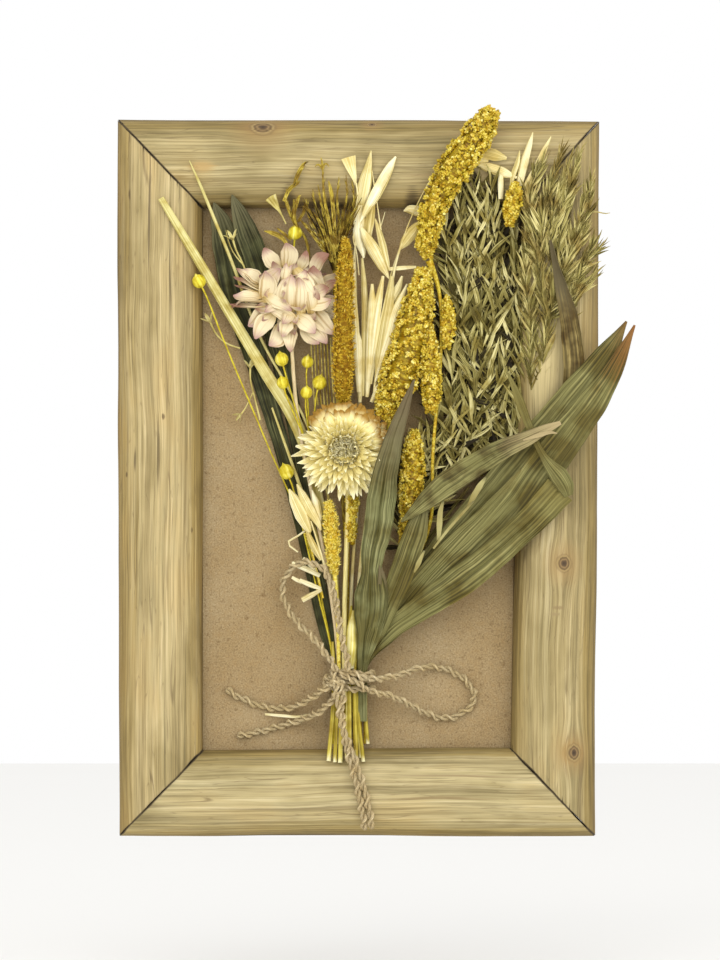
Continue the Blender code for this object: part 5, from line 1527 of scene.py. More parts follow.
for points in sprig_blades[:5]:
    for place, run, radius, share in walk(points, 0.8):
        side = rng.choice((-1, 1))
        lean = run * 1.3 + Vector((run.y * side, -run.x * side, rng.uniform(-0.2, 0.7))) * rng.uniform(0.4,
            0.9)
        places.append(aim(place, lean) @ Matrix.Diagonal((0.6, 0.6, rng.uniform(1.4, 3.0), 1)))
        tones.append(rng.uniform(-1, 1))
parts.append(plant_copies([bristle_pattern], places, tones))
parts.append(make_stalk([(-20, 84, 9.2, 0.5), (-21.4, 98, 10.4, 0.6), (-26, 106, 16, 0.7),
    (-26.5, 115, 19, 0.5)], 6))
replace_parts(stand_up(join_pieces(parts), "needle_spray", bristle_olive), "needle_sprig")


# --- Oats ---
# Cut oat panicles. Each spikelet is a pair of thin boat-shaped husks, cream to pale straw, ribbed lengthwise
# and shiny, folded round each other and pointed. They hang on white stems like threads.
oat_husk = dry_plant(
    "oat husk, cream", [(0.28, "#B8A45C"), (0.42, "#E0D190"), (0.56, "#F4E8B4"), (0.74, "#FFFBDC")],
    veins=4.5, long=40, patch=9, faded="#E6DAB2", rough=0.46, bump=0.35, base=("#C3AE62", 0.0, -0.12),
)
BOAT = (-0.42, -0.06, 0.16, 0.28, 0.16, -0.06, -0.42)


def make_husk(points, seed):
    """One spikelet along a route: an outer husk with a narrower one that shows along its side."""
    points = [(*point[:3], point[3] * 1.16) for point in points]
    outer = make_strip(points, BOAT, 18, 0.14, 0.05, seed)
    side = 1 if seed % 2 else -1
    run = (Vector(points[-1][:3]) - Vector(points[0][:3])).normalized()
    beside = Vector((-run.y, run.x, 0)) * side
    middle = max(point[3] for point in points)
    under = [
        (*(Vector(point[:3]) + beside * 0.5 * point[3] + Vector((0, 0, -0.35 * middle))), point[3] * 0.75)
        for point in points
    ]
    inner = make_strip(under, BOAT, 14, 0.14, 0.05, seed + 3)
    for husk, tone in ((outer, 0.6 * math.sin(seed * 2.3)), (inner, -0.9)):
        set_all(husk, "tone", tone)
    return join_pieces([outer, inner])


oats = {
    "oat_left": ([
        [(5.4, 135.1, 23.8, 0.12), (4.6, 129.7, 23.6, 1.0), (3.3, 122.6, 22.8, 2), (2.3, 116.4, 20.4, 2.3),
            (1.7, 111.8, 18.2, 1.9), (2.1, 108.1, 16.6, 0.62)],
        [(0.8, 112.7, 19.8, 1.0), (0.2, 106, 17, 1.9), (0.4, 99.4, 14.6, 2), (1.7, 94.4, 13.6, 1.2),
            (2.3, 91.1, 13.2, 0.25)],
        [(5.8, 117.2, 20.6, 0.25), (5.8, 112.7, 19.6, 1.1), (5, 106, 16.8, 1.5), (4.1, 99.4, 14.6, 1.1),
            (3.7, 96.1, 13.8, 0.17)],
        [(1.2, 103.5, 17.6, 0.41), (3.3, 99.4, 17, 1.5), (6.6, 93.6, 15.8, 2), (10, 87.4, 14.6, 1.5),
            (12.9, 82.4, 13.4, 0.17)],
        [(-1.7, 89.4, 13, 0.33), (-2.1, 79.9, 13.2, 0.91), (-1.2, 65.4, 13.4, 1.2), (-0.4, 50.8, 13.4, 1.2),
            (0.4, 35.5, 13.2, 0.66)],
        [(1.7, 91.1, 12.6, 0.33), (2.5, 77.8, 13, 0.91), (2.9, 63.3, 13.2, 1.2), (2.5, 46.7, 13.2, 1.0),
            (2.1, 33.8, 13, 0.41)],
        [(0, 61.2, 12.6, 0.25), (1.2, 52.9, 12.8, 1.0), (1.2, 42.5, 12.8, 1.2), (0.8, 31.3, 12.6, 0.5)],
    ], [
        *tied(-3.6, 10.5, 0.8), (-2.4, -40, 10.4, 0.7), (0.4, 0, 10.2, 0.7),
        (0.6, 40, 10.6, 0.5), (-1.2, 92, 11.6, 0.35), (-1.0, 104, 14.6, 0.3),
    ]),
    "oat_right": ([
        [(15.6, 132.6, 23.8, 0.25), (13.3, 128.9, 23.6, 1.2), (10.4, 123.5, 23, 1.7), (6.6, 116.4, 22.2, 1.7),
            (3.3, 110.6, 21.2, 1.0), (0.8, 105.6, 19.6, 0.17)],
        [(7.1, 107.3, 16.4, 0.17), (8.7, 102.3, 15.6, 0.83), (10.4, 96.1, 14.8, 1.2), (12, 89.4, 13.8, 0.91),
            (12.9, 86.1, 13.2, 0.17)],
        [(5.8, 80.3, 14.8, 0.41), (5.6, 71.6, 15, 1.2), (5, 60.4, 15, 1.3), (4.6, 47.9, 14.8, 1.2),
            (3.7, 33.4, 14.4, 0.5)],
        [(10.4, 83.6, 14.6, 0.41), (8.7, 73.7, 15.2, 1.2), (7.1, 62.9, 15.4, 1.5), (5.8, 52.1, 15.2, 1.2),
            (4.6, 41.3, 14.8, 0.33)],
        [(14.1, 83.6, 14.6, 0.5), (12.9, 74.5, 15.4, 1.5), (10.8, 62.9, 15.8, 1.8), (9.1, 52.9, 15.6, 1.6),
            (7.5, 42.1, 15, 0.33)],
        [(20.3, 80.3, 13.6, 0.17), (17.8, 73.7, 14.8, 1.1), (15.8, 68.3, 15.6, 1.7), (13.3, 58.7, 16, 1.8),
            (10.4, 50.4, 15.8, 1.6), (7.1, 39.6, 15, 0.25)],
        [(18.3, 83.6, 13.2, 0.33), (16.2, 78.2, 13.6, 1.2), (13.7, 73.7, 14, 1.3), (11.6, 70.3, 14, 0.33)],
        [(16.2, 57.9, 15, 0.17), (14.5, 54.6, 15.6, 0.83), (12, 48.8, 15.6, 1.2), (9.1, 42.5, 15, 0.33)],
        [(10, 40.5, 13.8, 0.41), (7.9, 36.3, 14, 1.0), (5.4, 31.3, 13.8, 0.5)],
        [(7.9, 73.7, 14, 0.41), (7.5, 65.4, 14.2, 1.2), (6.6, 52.9, 14.2, 1.3), (5.4, 38.8, 13.9, 0.33)],
        [(12.4, 77.8, 13.6, 0.41), (11.2, 68.7, 14, 1.2), (9.5, 56.2, 14.2, 1.2), (6.6, 35.5, 13.6, 0.33)],
        [(18.9, 110.6, 13.4, 0.12), (21.2, 111.4, 14.4, 1.3), (24.5, 110.8, 15.4, 1.7),
            (27.8, 109.8, 16, 1.0)],
        [(17.2, 94.4, 13, 0.21), (19.5, 97.3, 14.4, 1.5), (22.4, 101.1, 15.6, 2), (24.9, 104.4, 16.2, 1.2),
            (26.1, 106, 16.4, 0.41)],
    ], [
        *tied(-1.4, 10.5, 0.8), (0.6, -40, 10.3, 0.7), (5.4, 0, 10.2, 0.7),
        (8.4, 42, 11.0, 0.5), (12.6, 80, 11.4, 0.4), (17.2, 95, 12.4, 0.35),
    ]),
    "oat_low": ([
        [(-28.6, -4.8, 16, 0.25), (-26.6, -9.3, 16.8, 1.7), (-23.7, -15.6, 17.4, 2.2),
            (-21.2, -20.5, 17.2, 1.4), (-19.9, -22.6, 17, 0.41)],
        [(-25.3, -2.7, 16.4, 0.25), (-22.8, -7.3, 17, 1.3), (-19.5, -13.5, 17.6, 1.7),
            (-16.6, -18.5, 17.4, 1.0), (-15.4, -21.8, 17.2, 0.25)],
        [(-19.1, -5.2, 15.8, 0.17), (-17.8, -10.2, 16.2, 1.2), (-16.6, -16, 16.4, 1.2),
            (-15.8, -19.3, 16.2, 0.33)],
        [(-21.2, -21.8, 16, 0.33), (-19.5, -25.9, 16.2, 1.0), (-17.4, -30.1, 16.2, 1.1),
            (-15.4, -34.2, 16, 0.41)],
    ], [(-13.9, -36.5, 15.8, 0.5), (-17, -26, 16.2, 0.4), (-19.6, -18, 16.4, 0.3)]),
    "oat_stub_left": ([
        [(49, 133.4, 22.6, 0.5), (52.3, 133.8, 23, 1.7), (56.4, 133, 23.2, 1.9), (61.4, 131.8, 23.2, 0.5)],
        [(49.8, 129.3, 22.4, 0.5), (53.9, 128.4, 22.8, 1.5), (59.8, 126.4, 23, 1.6),
            (65.6, 123.9, 22.8, 0.33)],
        [(46.5, 131.8, 22, 0.5), (49.8, 131.3, 22.4, 1.2), (53.9, 130.9, 22.4, 0.41)],
    ], None),
    "oat_stub_right": ([
        [(72.2, 142.6, 23.4, 0.12), (71, 137.6, 23.6, 0.83), (68.9, 130.1, 23.4, 1.3),
            (67.2, 122.6, 22.8, 1.1), (66.4, 119.3, 22.4, 0.58)],
        [(79.7, 140.9, 23.2, 0.12), (76.8, 135.1, 23.6, 0.83), (73.5, 127.6, 23.4, 1.2),
            (69.7, 121, 22.8, 1.0), (68.1, 118.1, 22.4, 0.5)],
        [(66.8, 135.1, 23, 0.12), (66, 130.1, 23.4, 0.75), (64.3, 125.1, 23.2, 0.83),
            (63.1, 120.1, 22.6, 0.33)],
        [(58.9, 126, 22.6, 0.75), (58.9, 121, 22.4, 0.91), (58.9, 115.2, 21.2, 0.75)],
    ], None),
}
for node, (husks, stem) in oats.items():
    parts = [make_husk(points, number + len(node)) for number, points in enumerate(husks)]
    if stem:
        parts.append(make_stalk(stem, 7))
    if node == "oat_left":
        # A dry sheath opens in a small triangle at the end of a white stem.
        parts.append(make_strip(
            [(-1, 121, 20.6, 0.33), (-1.7, 124.3, 21.8, 1.1), (-3.1, 128.9, 22.8, 2.3),
                (-4.1, 132.4, 23.4, 3.1)], (0.25, 0.05, -0.1, 0.05, 0.3), 12, 0.16, 0.08, 2,
        ))
        parts.append(make_stalk([(-2.5, 86.1, 12.6, 0.37), (-1.2, 97.3, 13.6, 0.33),
            (-1.7, 107.3, 16.4, 0.33), (-0.2, 116.8, 20, 0.37), (-0.8, 121.8, 21, 0.41)], 6))
        parts.append(make_stalk([(0.4, 84, 12.6, 0.29), (-0.8, 94.4, 13.4, 0.25), (-2.1, 100.2, 14.4, 0.21),
            (0.8, 104.4, 16.8, 0.21), (2.1, 106.9, 18.2, 0.17)], 5))
    if node == "oat_right":
        parts.append(make_stalk([(14.1, 80.3, 13.4, 0.54), (15.8, 89.4, 13.4, 0.5), (17.4, 94.8, 13.6, 0.41),
            (20.3, 103.5, 15, 0.29), (24.9, 113.9, 18.4, 0.25), (30.7, 124.3, 22.4, 0.21),
            (34, 129.3, 23.6, 0.17)], 6))
        parts.append(make_strip([(12.4, 86.5, 12.4, 0.66), (17.4, 86.9, 12.6, 0.91), (24.1, 87.4, 12.8, 0.5)],
            (0.2, 0, 0.2), 8, 0.2))
        parts.append(make_stalk([(9.5, 102.7, 15, 0.33), (7.9, 113.1, 19, 0.29), (6.6, 121.4, 21.8, 0.25),
            (5.8, 126.8, 23, 0.17)], 5))
        parts.append(make_stalk([(8.7, 101.9, 14.6, 0.25), (10, 106, 15.4, 0.21), (11.2, 110.2, 16.4, 0.12)],
            5))
    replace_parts(stand_up(join_pieces(parts), node.replace("oat", "oats"), oat_husk), node)


# --- Millet ---
# Foxtail millet, dyed golden yellow. Small round shiny grains, about 1.5 mm, crowd in little clusters round a
# stem, with brown husk showing between them.
millet_grain = dry_plant(
    "millet grain, dyed golden", [(0.20, "#6E560A"), (0.36, "#AC921E"), (0.54, "#DAC440"), (0.76, "#FBF29C")],
    veins=1.2, long=1.2, patch=2.0, faded="#E2C860", rough=0.4, bump=0.2,
)
bpy.ops.object.select_all(action="DESELECT")
bpy.ops.mesh.primitive_uv_sphere_add(segments=6, ring_count=4, radius=1)
grain_pattern = bpy.context.object
bpy.ops.object.mode_set(mode="EDIT")
pick(grain_pattern, "VERT", lambda point: point.co.z > 0.99)
bpy.ops.transform.translate(value=(0, 0, 0.3))
bpy.ops.object.mode_set(mode="OBJECT")
only(grain_pattern)
bpy.ops.object.shade_smooth()
note_upright(grain_pattern)


# The grains sit in clusters of eight that face outwards along z.
rng = random.Random(5)
cluster_patterns = []
for number in range(6):
    places = []
    for _ in range(8):
        lean = Vector((rng.gauss(0, 1), rng.gauss(0, 1), rng.gauss(0, 1))).normalized() + Vector((0, 0, 0.9))
        lean.normalize()
        size = rng.uniform(0.48, 0.72)
        places.append(aim(lean * rng.uniform(0.75, 1.35),
            lean + Vector((0.5, 0, 0))) @ Matrix.Diagonal((size, size, size * 1.15, 1)))
    cluster_patterns.append(plant_copies([grain_pattern], places, [rng.uniform(-0.8, 0.8) for _ in places]))


def make_millet(points, clusters, seed):
    """A millet head along a route: clusters of grains all round it, with a dark core and a few bristles."""
    rng = random.Random(seed)
    gap = straight_length(points) / clusters
    places, tones, hairs = [], [], []
    for number, (place, run, radius, share) in enumerate(walk(points, gap)):
        out = square_out(run, number * GOLDEN_TURN + rng.uniform(-0.5, 0.5))
        heart = place + out * max(radius - 1.3, 0.1) * rng.uniform(0.78, 1.1)
        places.append(aim(heart, out + run * 0.35, rng.uniform(0, math.tau)))
        tones.append(rng.uniform(-0.6, 0.7))
        if number % 2:
            hairs.append(aim(heart + out * 0.4,
                out + run * 0.7) @ Matrix.Diagonal((0.25, 0.25, rng.uniform(1.8, 3.0), 1)))
    core = shaped_core(points, 0.7, -1.0)
    grains = plant_copies(cluster_patterns, places, tones)
    return join_pieces([grains, core, plant_copies([bristle_pattern], hairs, [0.6] * len(hairs))])


millet = {
    "millet_tall": ([
        ([
            (28.8, 91, 16.6, 1.8), (28.4, 96, 18.2, 4.4), (29.6, 104, 20.8, 5.2), (31.6, 113, 24.0, 5.6),
            (36.2, 122, 26.2, 6.9),
            (42.0, 131, 27.2, 7.4), (48.0, 139, 27.2, 7.0), (52.4, 146, 26.8, 5.8), (55.4, 151.6, 26.4, 3.2),
        ], 400),
    ], [
        *tied(3, 10.5, 0.8), (9, -60, 10.8, 0.7), (22, -38, 11.4, 0.7),
        (29.6, -20, 14.2, 0.7), (31, 10, 14.6, 0.7), (34.4, 56, 14.8, 0.7), (33.4, 78, 14.8, 0.8),
        (29.4, 90, 16.4, 1.6),
    ]),
    "millet_wide": ([
        ([
            (10.6, 25, 14.2, 4.0), (13.8, 33, 16.8, 6.6), (17.6, 42, 18.0, 8.2), (20.8, 52, 18.6, 8.8),
            (23.0, 62, 18.6, 8.0),
            (25.0, 72, 18.6, 6.4), (26.4, 79, 18.8, 5.0), (27.0, 86, 19.0, 3.2),
        ], 430),
        ([(30.2, 27, 18.6, 2.0), (30.6, 34, 19.2, 4.2), (30.2, 45, 19.4, 4.6), (29.2, 56, 19.2, 3.6),
            (28.8, 64, 18.6, 2.0)], 140),
        ([(36.6, 54, 15.6, 1.6), (37.4, 60, 16.0, 3.2), (37.2, 68, 16.0, 3.0), (36.6, 74, 15.6, 1.4)], 56),
    ], [
        *tied(0.8, 10.5, 0.8), (4.4, -58, 11.6, 0.7), (9.6, -30, 12.6, 0.7),
        (13.6, 0, 13.0, 0.7), (12.6, 19, 13.0, 0.8), (13.2, 27, 14.6, 1.4),
    ]),
    "millet_low": ([
        ([(19.8, -36, 14.2, 1.4), (21.0, -28, 15.4, 3.8), (22.2, -14, 16.2, 5.2), (22.6, 2, 16.2, 5.4),
            (23.0, 14, 15.8, 3.8), (23.4, 19, 15.6, 1.6)], 230),
        ([(-3.4, -27, 14.4, 1.6), (-3.2, -22, 14.8, 2.8), (-2.8, -17, 14.8, 1.8)], 38),
        ([(-2.6, -16, 14.6, 1.8), (-2.4, -11, 14.8, 3.0), (-2.4, -6, 14.6, 2.0)], 38),
        ([(17.4, -48, 14.0, 0.8), (18.0, -40, 14.2, 2.2), (18.4, -30, 14.6, 1.6)], 40),
    ], [
        *tied(-1.4, 12.8, 0.8), (4, -62, 13.4, 0.7), (13.2, -46, 13.6, 0.8),
        (20, -34, 14.4, 1.2),
    ]),
    "millet_small": ([
        ([(62.6, 104.4, 21.2, 1.4), (63.0, 108, 22.2, 3.2), (63.9, 113.5, 23.6, 3.9),
            (64.8, 118.4, 24.2, 3.0), (65.2, 121, 24.2, 1.2)], 76),
    ], None),
}
for number, (node, (heads, stem)) in enumerate(millet.items()):
    parts = [make_millet(points, clusters, 40 + number * 7 + step) for step,
        (points, clusters) in enumerate(heads)]
    if stem:
        parts.append(make_stalk(stem, 8))
    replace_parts(stand_up(join_pieces(parts), node.replace("millet", "millet_head"), millet_grain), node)


# --- Narrow-leaved foliage ---
# Sprays of small pointed willow-like leaves, dried olive grey with paler backs, set alternately up thin brown
# shoots. They lie over each other in layers, some curled.
olive_leaf = dry_plant(
    "dried narrow leaf, olive", [(0.10, "#241C06"), (0.36, "#6A602A"), (0.54, "#A89D5A"), (0.74, "#E6DCA0")],
    veins=2.5, long=9, patch=6, faded="#B9AD74", rough=0.66, tip=("#9B8350", 0.94, 1.12),
)
leaflet_patterns = [
    make_strip(
        [(0, 0, 0, 0.012), (0.16, 0, 0.0, 0.035), (0.42, side, 0.02, 0.062), (0.7, side * 1.6, 0.01, 0.048),
            (1.0, side, -curl, 0.004)],
        (0.5, 0.0, 0.5), 7, 0,
    )
    for side, curl in ((0.015, 0.04), (-0.03, 0.08), (0.04, -0.05), (0.0, 0.12), (-0.05, 0.02))
]


def make_spray(shoots, gap, size, spread, seed, patterns, slim=1.0, shade=0.0):
    """Shoots with leaves on both sides.

    size is (shortest, longest) leaf, and spread the angle they stand out at.
    """
    rng = random.Random(seed)
    parts, chosen = [], {}
    for shoot in shoots:
        stem = make_stalk(shoot, 5)
        set_all(stem, "tone", -0.7)
        parts.append(stem)
        for number, (place, run, radius, share) in enumerate(walk(shoot, gap)):
            side = 1 if number % 2 else -1
            angle = side * math.radians(rng.uniform(*spread)) * (1.1 - 0.7 * share)
            flat = Vector((run.x * math.cos(angle) - run.y * math.sin(angle),
                run.x * math.sin(angle) + run.y * math.cos(angle), 0))
            lean = (flat + Vector((0, 0, run.z * 0.6 + rng.uniform(-0.06, 0.18)))).normalized()
            turned = lean.to_track_quat("X", "Z").to_matrix().to_4x4() @ Matrix.Rotation(rng.gauss(0, 0.55),
                4, "X")
            length = rng.uniform(*size) * (0.72 + 0.28 * math.sin(math.pi * min(1, share + 0.15)))
            spot = place + Vector((0, 0, rng.uniform(-0.2, 0.5)))
            chosen.setdefault(rng.randrange(len(patterns)), []).append(
                (Matrix.Translation(spot) @ turned @ Matrix.Diagonal((length, length * slim, length, 1)),
                    rng.uniform(-1, 1.2) + shade)
            )
    for key, copies in sorted(chosen.items()):
        parts.append(plant_copies([patterns[key]], [place for place, _ in copies],
            [tone for _, tone in copies]))
    return join_pieces(parts)


foliage = {
    "foliage_inner": [
        [(46.5, -0.2, 10.2, 0.58), (40.7, 32.2, 11.4, 0.5), (37.4, 61.2, 12.2, 0.41), (39, 91.9, 12.8, 0.25)],
        [(49.8, 0.6, 10, 0.58), (47.3, 32.2, 11.2, 0.5), (44.8, 57.1, 12.4, 0.41), (43.2, 82, 12.8, 0.37),
            (46.5, 112.7, 18.2, 0.21)],
        [(53.1, 3.1, 10, 0.58), (53.1, 32.2, 11.6, 0.5), (51.5, 61.2, 12.8, 0.41), (49.8, 90.3, 13.2, 0.33),
            (48.1, 121.8, 22.2, 0.17)],
        [(55.6, 5.6, 9.8, 0.58), (58.9, 36.3, 11, 0.5), (58.9, 65.4, 12, 0.41), (57.3, 94.4, 13, 0.33),
            (54.8, 121.8, 22.2, 0.17)],
        [(36.5, -2.7, 10, 0.54), (32.8, 19.7, 11.6, 0.41), (30.7, 43.8, 12.8, 0.21)],
        [(41.5, -1, 10.6, 0.54), (38.2, 19.7, 12.2, 0.41), (39, 40.5, 13.6, 0.21)],
        [(58.9, 7.3, 10, 0.54), (64.7, 36.3, 11.4, 0.46), (63.9, 61.2, 12.6, 0.37), (62.2, 86.9, 13.6, 0.21)],
        [(44.4, 69.5, 11.6, 0.41), (36.9, 94.4, 13.4, 0.33), (35.3, 113.5, 19.6, 0.17)],
        [(50.6, 71.2, 11.8, 0.41), (43.2, 96.9, 13.6, 0.33), (41.1, 120.1, 21.6, 0.17)],
        [(61, 71.2, 11.6, 0.41), (66.4, 91.9, 12.8, 0.33), (63.5, 106, 15.8, 0.17)],
        [(58.9, 19.7, 11.4, 0.41), (52.7, 44.6, 13, 0.33), (50.6, 65.4, 13.8, 0.21)],
        [(63.1, 13.1, 11, 0.41), (58.1, 32.2, 12.6, 0.33), (61, 52.9, 13.6, 0.21)],
        [(46.5, 15.6, 12, 0.41), (49, 32.2, 13.4, 0.33), (46.5, 52.9, 14.2, 0.21)],
        [(50.6, 77.8, 12.8, 0.37), (53.9, 98.6, 13.8, 0.29), (51.5, 115.2, 20.6, 0.17)],
        [(40.3, 57.1, 12.6, 0.37), (44.8, 73.7, 13.6, 0.29), (41.5, 89.4, 14, 0.17)],
        [(53.9, 52.9, 13.2, 0.37), (57.3, 69.5, 14, 0.29), (55.6, 86.1, 14.2, 0.17)],
        [(63.9, 52.9, 12.2, 0.37), (67.2, 69.5, 13.2, 0.29), (65.6, 82, 13.6, 0.17)],
    ],
    "foliage_outer": [
        [(67.2, 0.6, 10.2, 0.58), (73.5, 30.1, 12.2, 0.5), (75.5, 59.1, 14, 0.37), (71.8, 89.4, 15.6, 0.21)],
        [(63.9, 1.5, 10, 0.58), (67.2, 23.9, 12, 0.5), (68.1, 48.8, 13.8, 0.37), (66.8, 73.7, 15, 0.21)],
        [(71.4, 4.8, 10.6, 0.54), (79.7, 31.3, 13, 0.46), (81.3, 55, 14.8, 0.33), (78.8, 77.8, 16.8, 0.21)],
        [(58.9, -1, 10.4, 0.5), (63.9, 17.2, 12, 0.41), (71.8, 36.3, 13.8, 0.21)],
        [(73.9, 11.4, 12, 0.46), (78, 25.9, 13.6, 0.37), (83, 43.8, 15.2, 0.21)],
        [(69.7, 61.2, 13.6, 0.37), (73, 77.8, 15, 0.29), (77.6, 94.4, 16.6, 0.17)],
        [(69.3, 15.6, 12.6, 0.41), (71.4, 30.1, 14, 0.33), (69.7, 44.6, 15, 0.17)],
        [(75.5, 40.5, 14.2, 0.37), (78.8, 52.9, 15.4, 0.29), (75.5, 66.2, 16.2, 0.17)],
    ],
    "foliage_low": [
        [(17.4, -30.9, 9.2, 0.58), (22.4, -7.7, 10.4, 0.46), (25.7, 15.6, 11.4, 0.25)],
        [(20.8, -21.8, 9.6, 0.5), (29.9, -2.7, 11.2, 0.41), (34.4, 13.1, 12.2, 0.21)],
        [(16.6, -21.8, 9.6, 0.5), (19.1, -3.5, 10.8, 0.41), (18.3, 11.4, 11.4, 0.21)],
        [(24.9, -17.6, 10, 0.46), (32.4, -9.3, 11.2, 0.37), (39, -0.2, 12.2, 0.17)],
        [(22.4, -1, 11, 0.41), (27.4, 6.4, 12, 0.33), (30.7, 15.6, 12.8, 0.17)],
    ],
}
foliage_stems = {
    "foliage_inner": [*tied(0.8, 8.2, 0.8), (10.6, -60, 8.2, 0.8), (24, -34, 8.8, 0.9), (46, -4, 9.8, 0.7)],
    "foliage_outer": [*tied(3, 8.2, 0.8), (14.6, -60, 8.2, 0.8), (31.4, -34, 8.9, 0.9), (66, 0, 10, 0.7)],
    "foliage_low": [*tied(-1.4, 8.2, 0.8), (6.4, -60, 8.4, 0.8), (17, -32, 9.0, 0.6)],
}
for number, (node, shoots) in enumerate(foliage.items()):
    spray = make_spray([foliage_stems[node]], 400, (1, 2), (30, 60), 60 + number, leaflet_patterns)
    # A lower layer of leaves, darkened as painted shade, shows through the gaps of the upper one.
    low_shoots = [[(x + 3 * math.sin(y), y, depth - 1.8, radius) for x, y, depth,
        radius in shoot] for shoot in shoots]
    low = make_spray(low_shoots, 1.6, (10.0, 16.0), (14, 80), 80 + number, leaflet_patterns, 1.5, -2.2)
    leaves = make_spray(shoots, 2.2, (10.5, 19.0), (12, 58), 70 + number, leaflet_patterns, 0.95, 0.1)
    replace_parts(stand_up(join_pieces([spray, low, leaves]), node.replace("foliage", "willow_spray"),
        olive_leaf), node)


# --- Feathery tuft ---
# A bushy spray of needle-fine leaves, greener and darker than the willow sprays, fanning up and to the right
# over the rail. Its ends have faded brown.
feather_green = dry_plant(
    "dried needle leaf, green", [(0.20, "#2A260A"), (0.38, "#6E642C"), (0.55, "#A69A56"), (0.75, "#DED290")],
    veins=2, long=6, patch=8, faded="#BCA880", rough=0.7, tip=("#B09A66", 0.94, 1.12),
)
tuft_shoots = [
    [(78, 65.4, 22.4, 0.41), (73.5, 93.6, 22.8, 0.37), (77.2, 115.2, 23.4, 0.29), (83.8, 133.4, 24.4, 0.17)],
    [(79.7, 73.7, 22.6, 0.41), (83.8, 101.9, 23.2, 0.37), (88.4, 122.6, 24.2, 0.29),
        (90.9, 132.6, 24.4, 0.17)],
    [(78.4, 73.7, 22.4, 0.41), (88, 93.6, 22.8, 0.37), (95, 109.4, 23.2, 0.29), (96.3, 121.8, 23.2, 0.17)],
    [(75.5, 83.6, 22.4, 0.41), (71, 108.5, 22.8, 0.33), (72.6, 126.8, 23.6, 0.17)],
    [(80.5, 65.4, 22.2, 0.41), (90.9, 81.1, 22.4, 0.33), (97.1, 96.9, 22.6, 0.17)],
    [(71.8, 58.7, 21.6, 0.41), (69.3, 80.3, 22.2, 0.33), (69.7, 103.5, 22.8, 0.17)],
    [(78.8, 89.4, 23.4, 0.37), (80.9, 112.7, 24.4, 0.29), (86.7, 129.3, 25, 0.17)],
    [(78.8, 65.4, 22.8, 0.41), (84.2, 85.3, 23.2, 0.33), (92.5, 100.2, 23.4, 0.17)],
    [(75.5, 38, 18.2, 0.41), (77.6, 60.4, 20.4, 0.33), (79.3, 79.5, 22.2, 0.17)],
    [(71.8, 36.3, 17.4, 0.41), (71.4, 56.2, 19.6, 0.33), (73.5, 74.5, 21.6, 0.17)],
    [(82.2, 73.7, 23.2, 0.37), (89.6, 98.6, 23.8, 0.29), (93.4, 115.2, 24, 0.17)],
    [(76.8, 89.4, 23.6, 0.33), (75.9, 106, 24.2, 0.29), (80.1, 121.8, 24.6, 0.17)],
    [(83.8, 77.8, 22.6, 0.33), (93.8, 89.4, 22.6, 0.25), (99.2, 94.4, 22.2, 0.12)],
    [(82.2, 106.9, 24, 0.33), (86.3, 116.8, 24.6, 0.25), (89.2, 127.6, 25, 0.12)],
    [(73.9, 94.4, 23, 0.33), (70.1, 116.8, 23.4, 0.25), (75.9, 129.3, 24, 0.12)],
    [(84.7, 61.2, 22, 0.33), (89.2, 73.7, 22.2, 0.25), (96.3, 82, 22, 0.12)],
]
tuft = make_spray(tuft_shoots, 0.5, (6.0, 12.5), (8, 36), 91, leaflet_patterns, 0.8)
twig = make_stalk([(93.8, 109.4, 22.6, 0.33), (98.8, 109.8, 22.4, 0.29), (102.1, 109.1, 22.2, 0.25),
    (104.2, 109.4, 22, 0.12)], 5)
set_all(twig, "tone", 1.0)
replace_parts(stand_up(join_pieces([tuft, twig]), "needle_tuft", feather_green), "feather_tuft")


# --- Curled brown leaf ---
# One narrow leaf that died brown. It has twisted on itself twice and rolled at its edges as it dried.
brown_leaf = dry_plant(
    "dead leaf, brown", [(0.28, "#43381C"), (0.44, "#6C5E36"), (0.58, "#8E7C48"), (0.74, "#B9A66C")],
    veins=5, long=30, patch=9, faded="#8E7A4C", rough=0.7, bump=0.45, base=("#5C5238", 0.5, 0.3),
)
curl = make_strip(
    [
        (79.3, 98, 27.2, 0.5, 30), (81.4, 90, 26.8, 1.6, 50), (84.2, 78, 25.8, 2.6, 16),
        (86.6, 67, 24.4, 3.7, -10),
        (88.4, 57, 23.4, 4.2, 8), (89.6, 47, 22.8, 4.4, 16), (88.8, 38, 22.0, 4.0, 10),
        (87.0, 31, 21.6, 1.6, 4),
    ],
    (0.4, 0.14, 0.04, 0.08, 0.0, 0.06, 0.04, 0.14, 0.4), 48, 0.26, 0.16, 5, 9,
)
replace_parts(stand_up(curl, "curled_leaf", brown_leaf), "leaf_twisted")


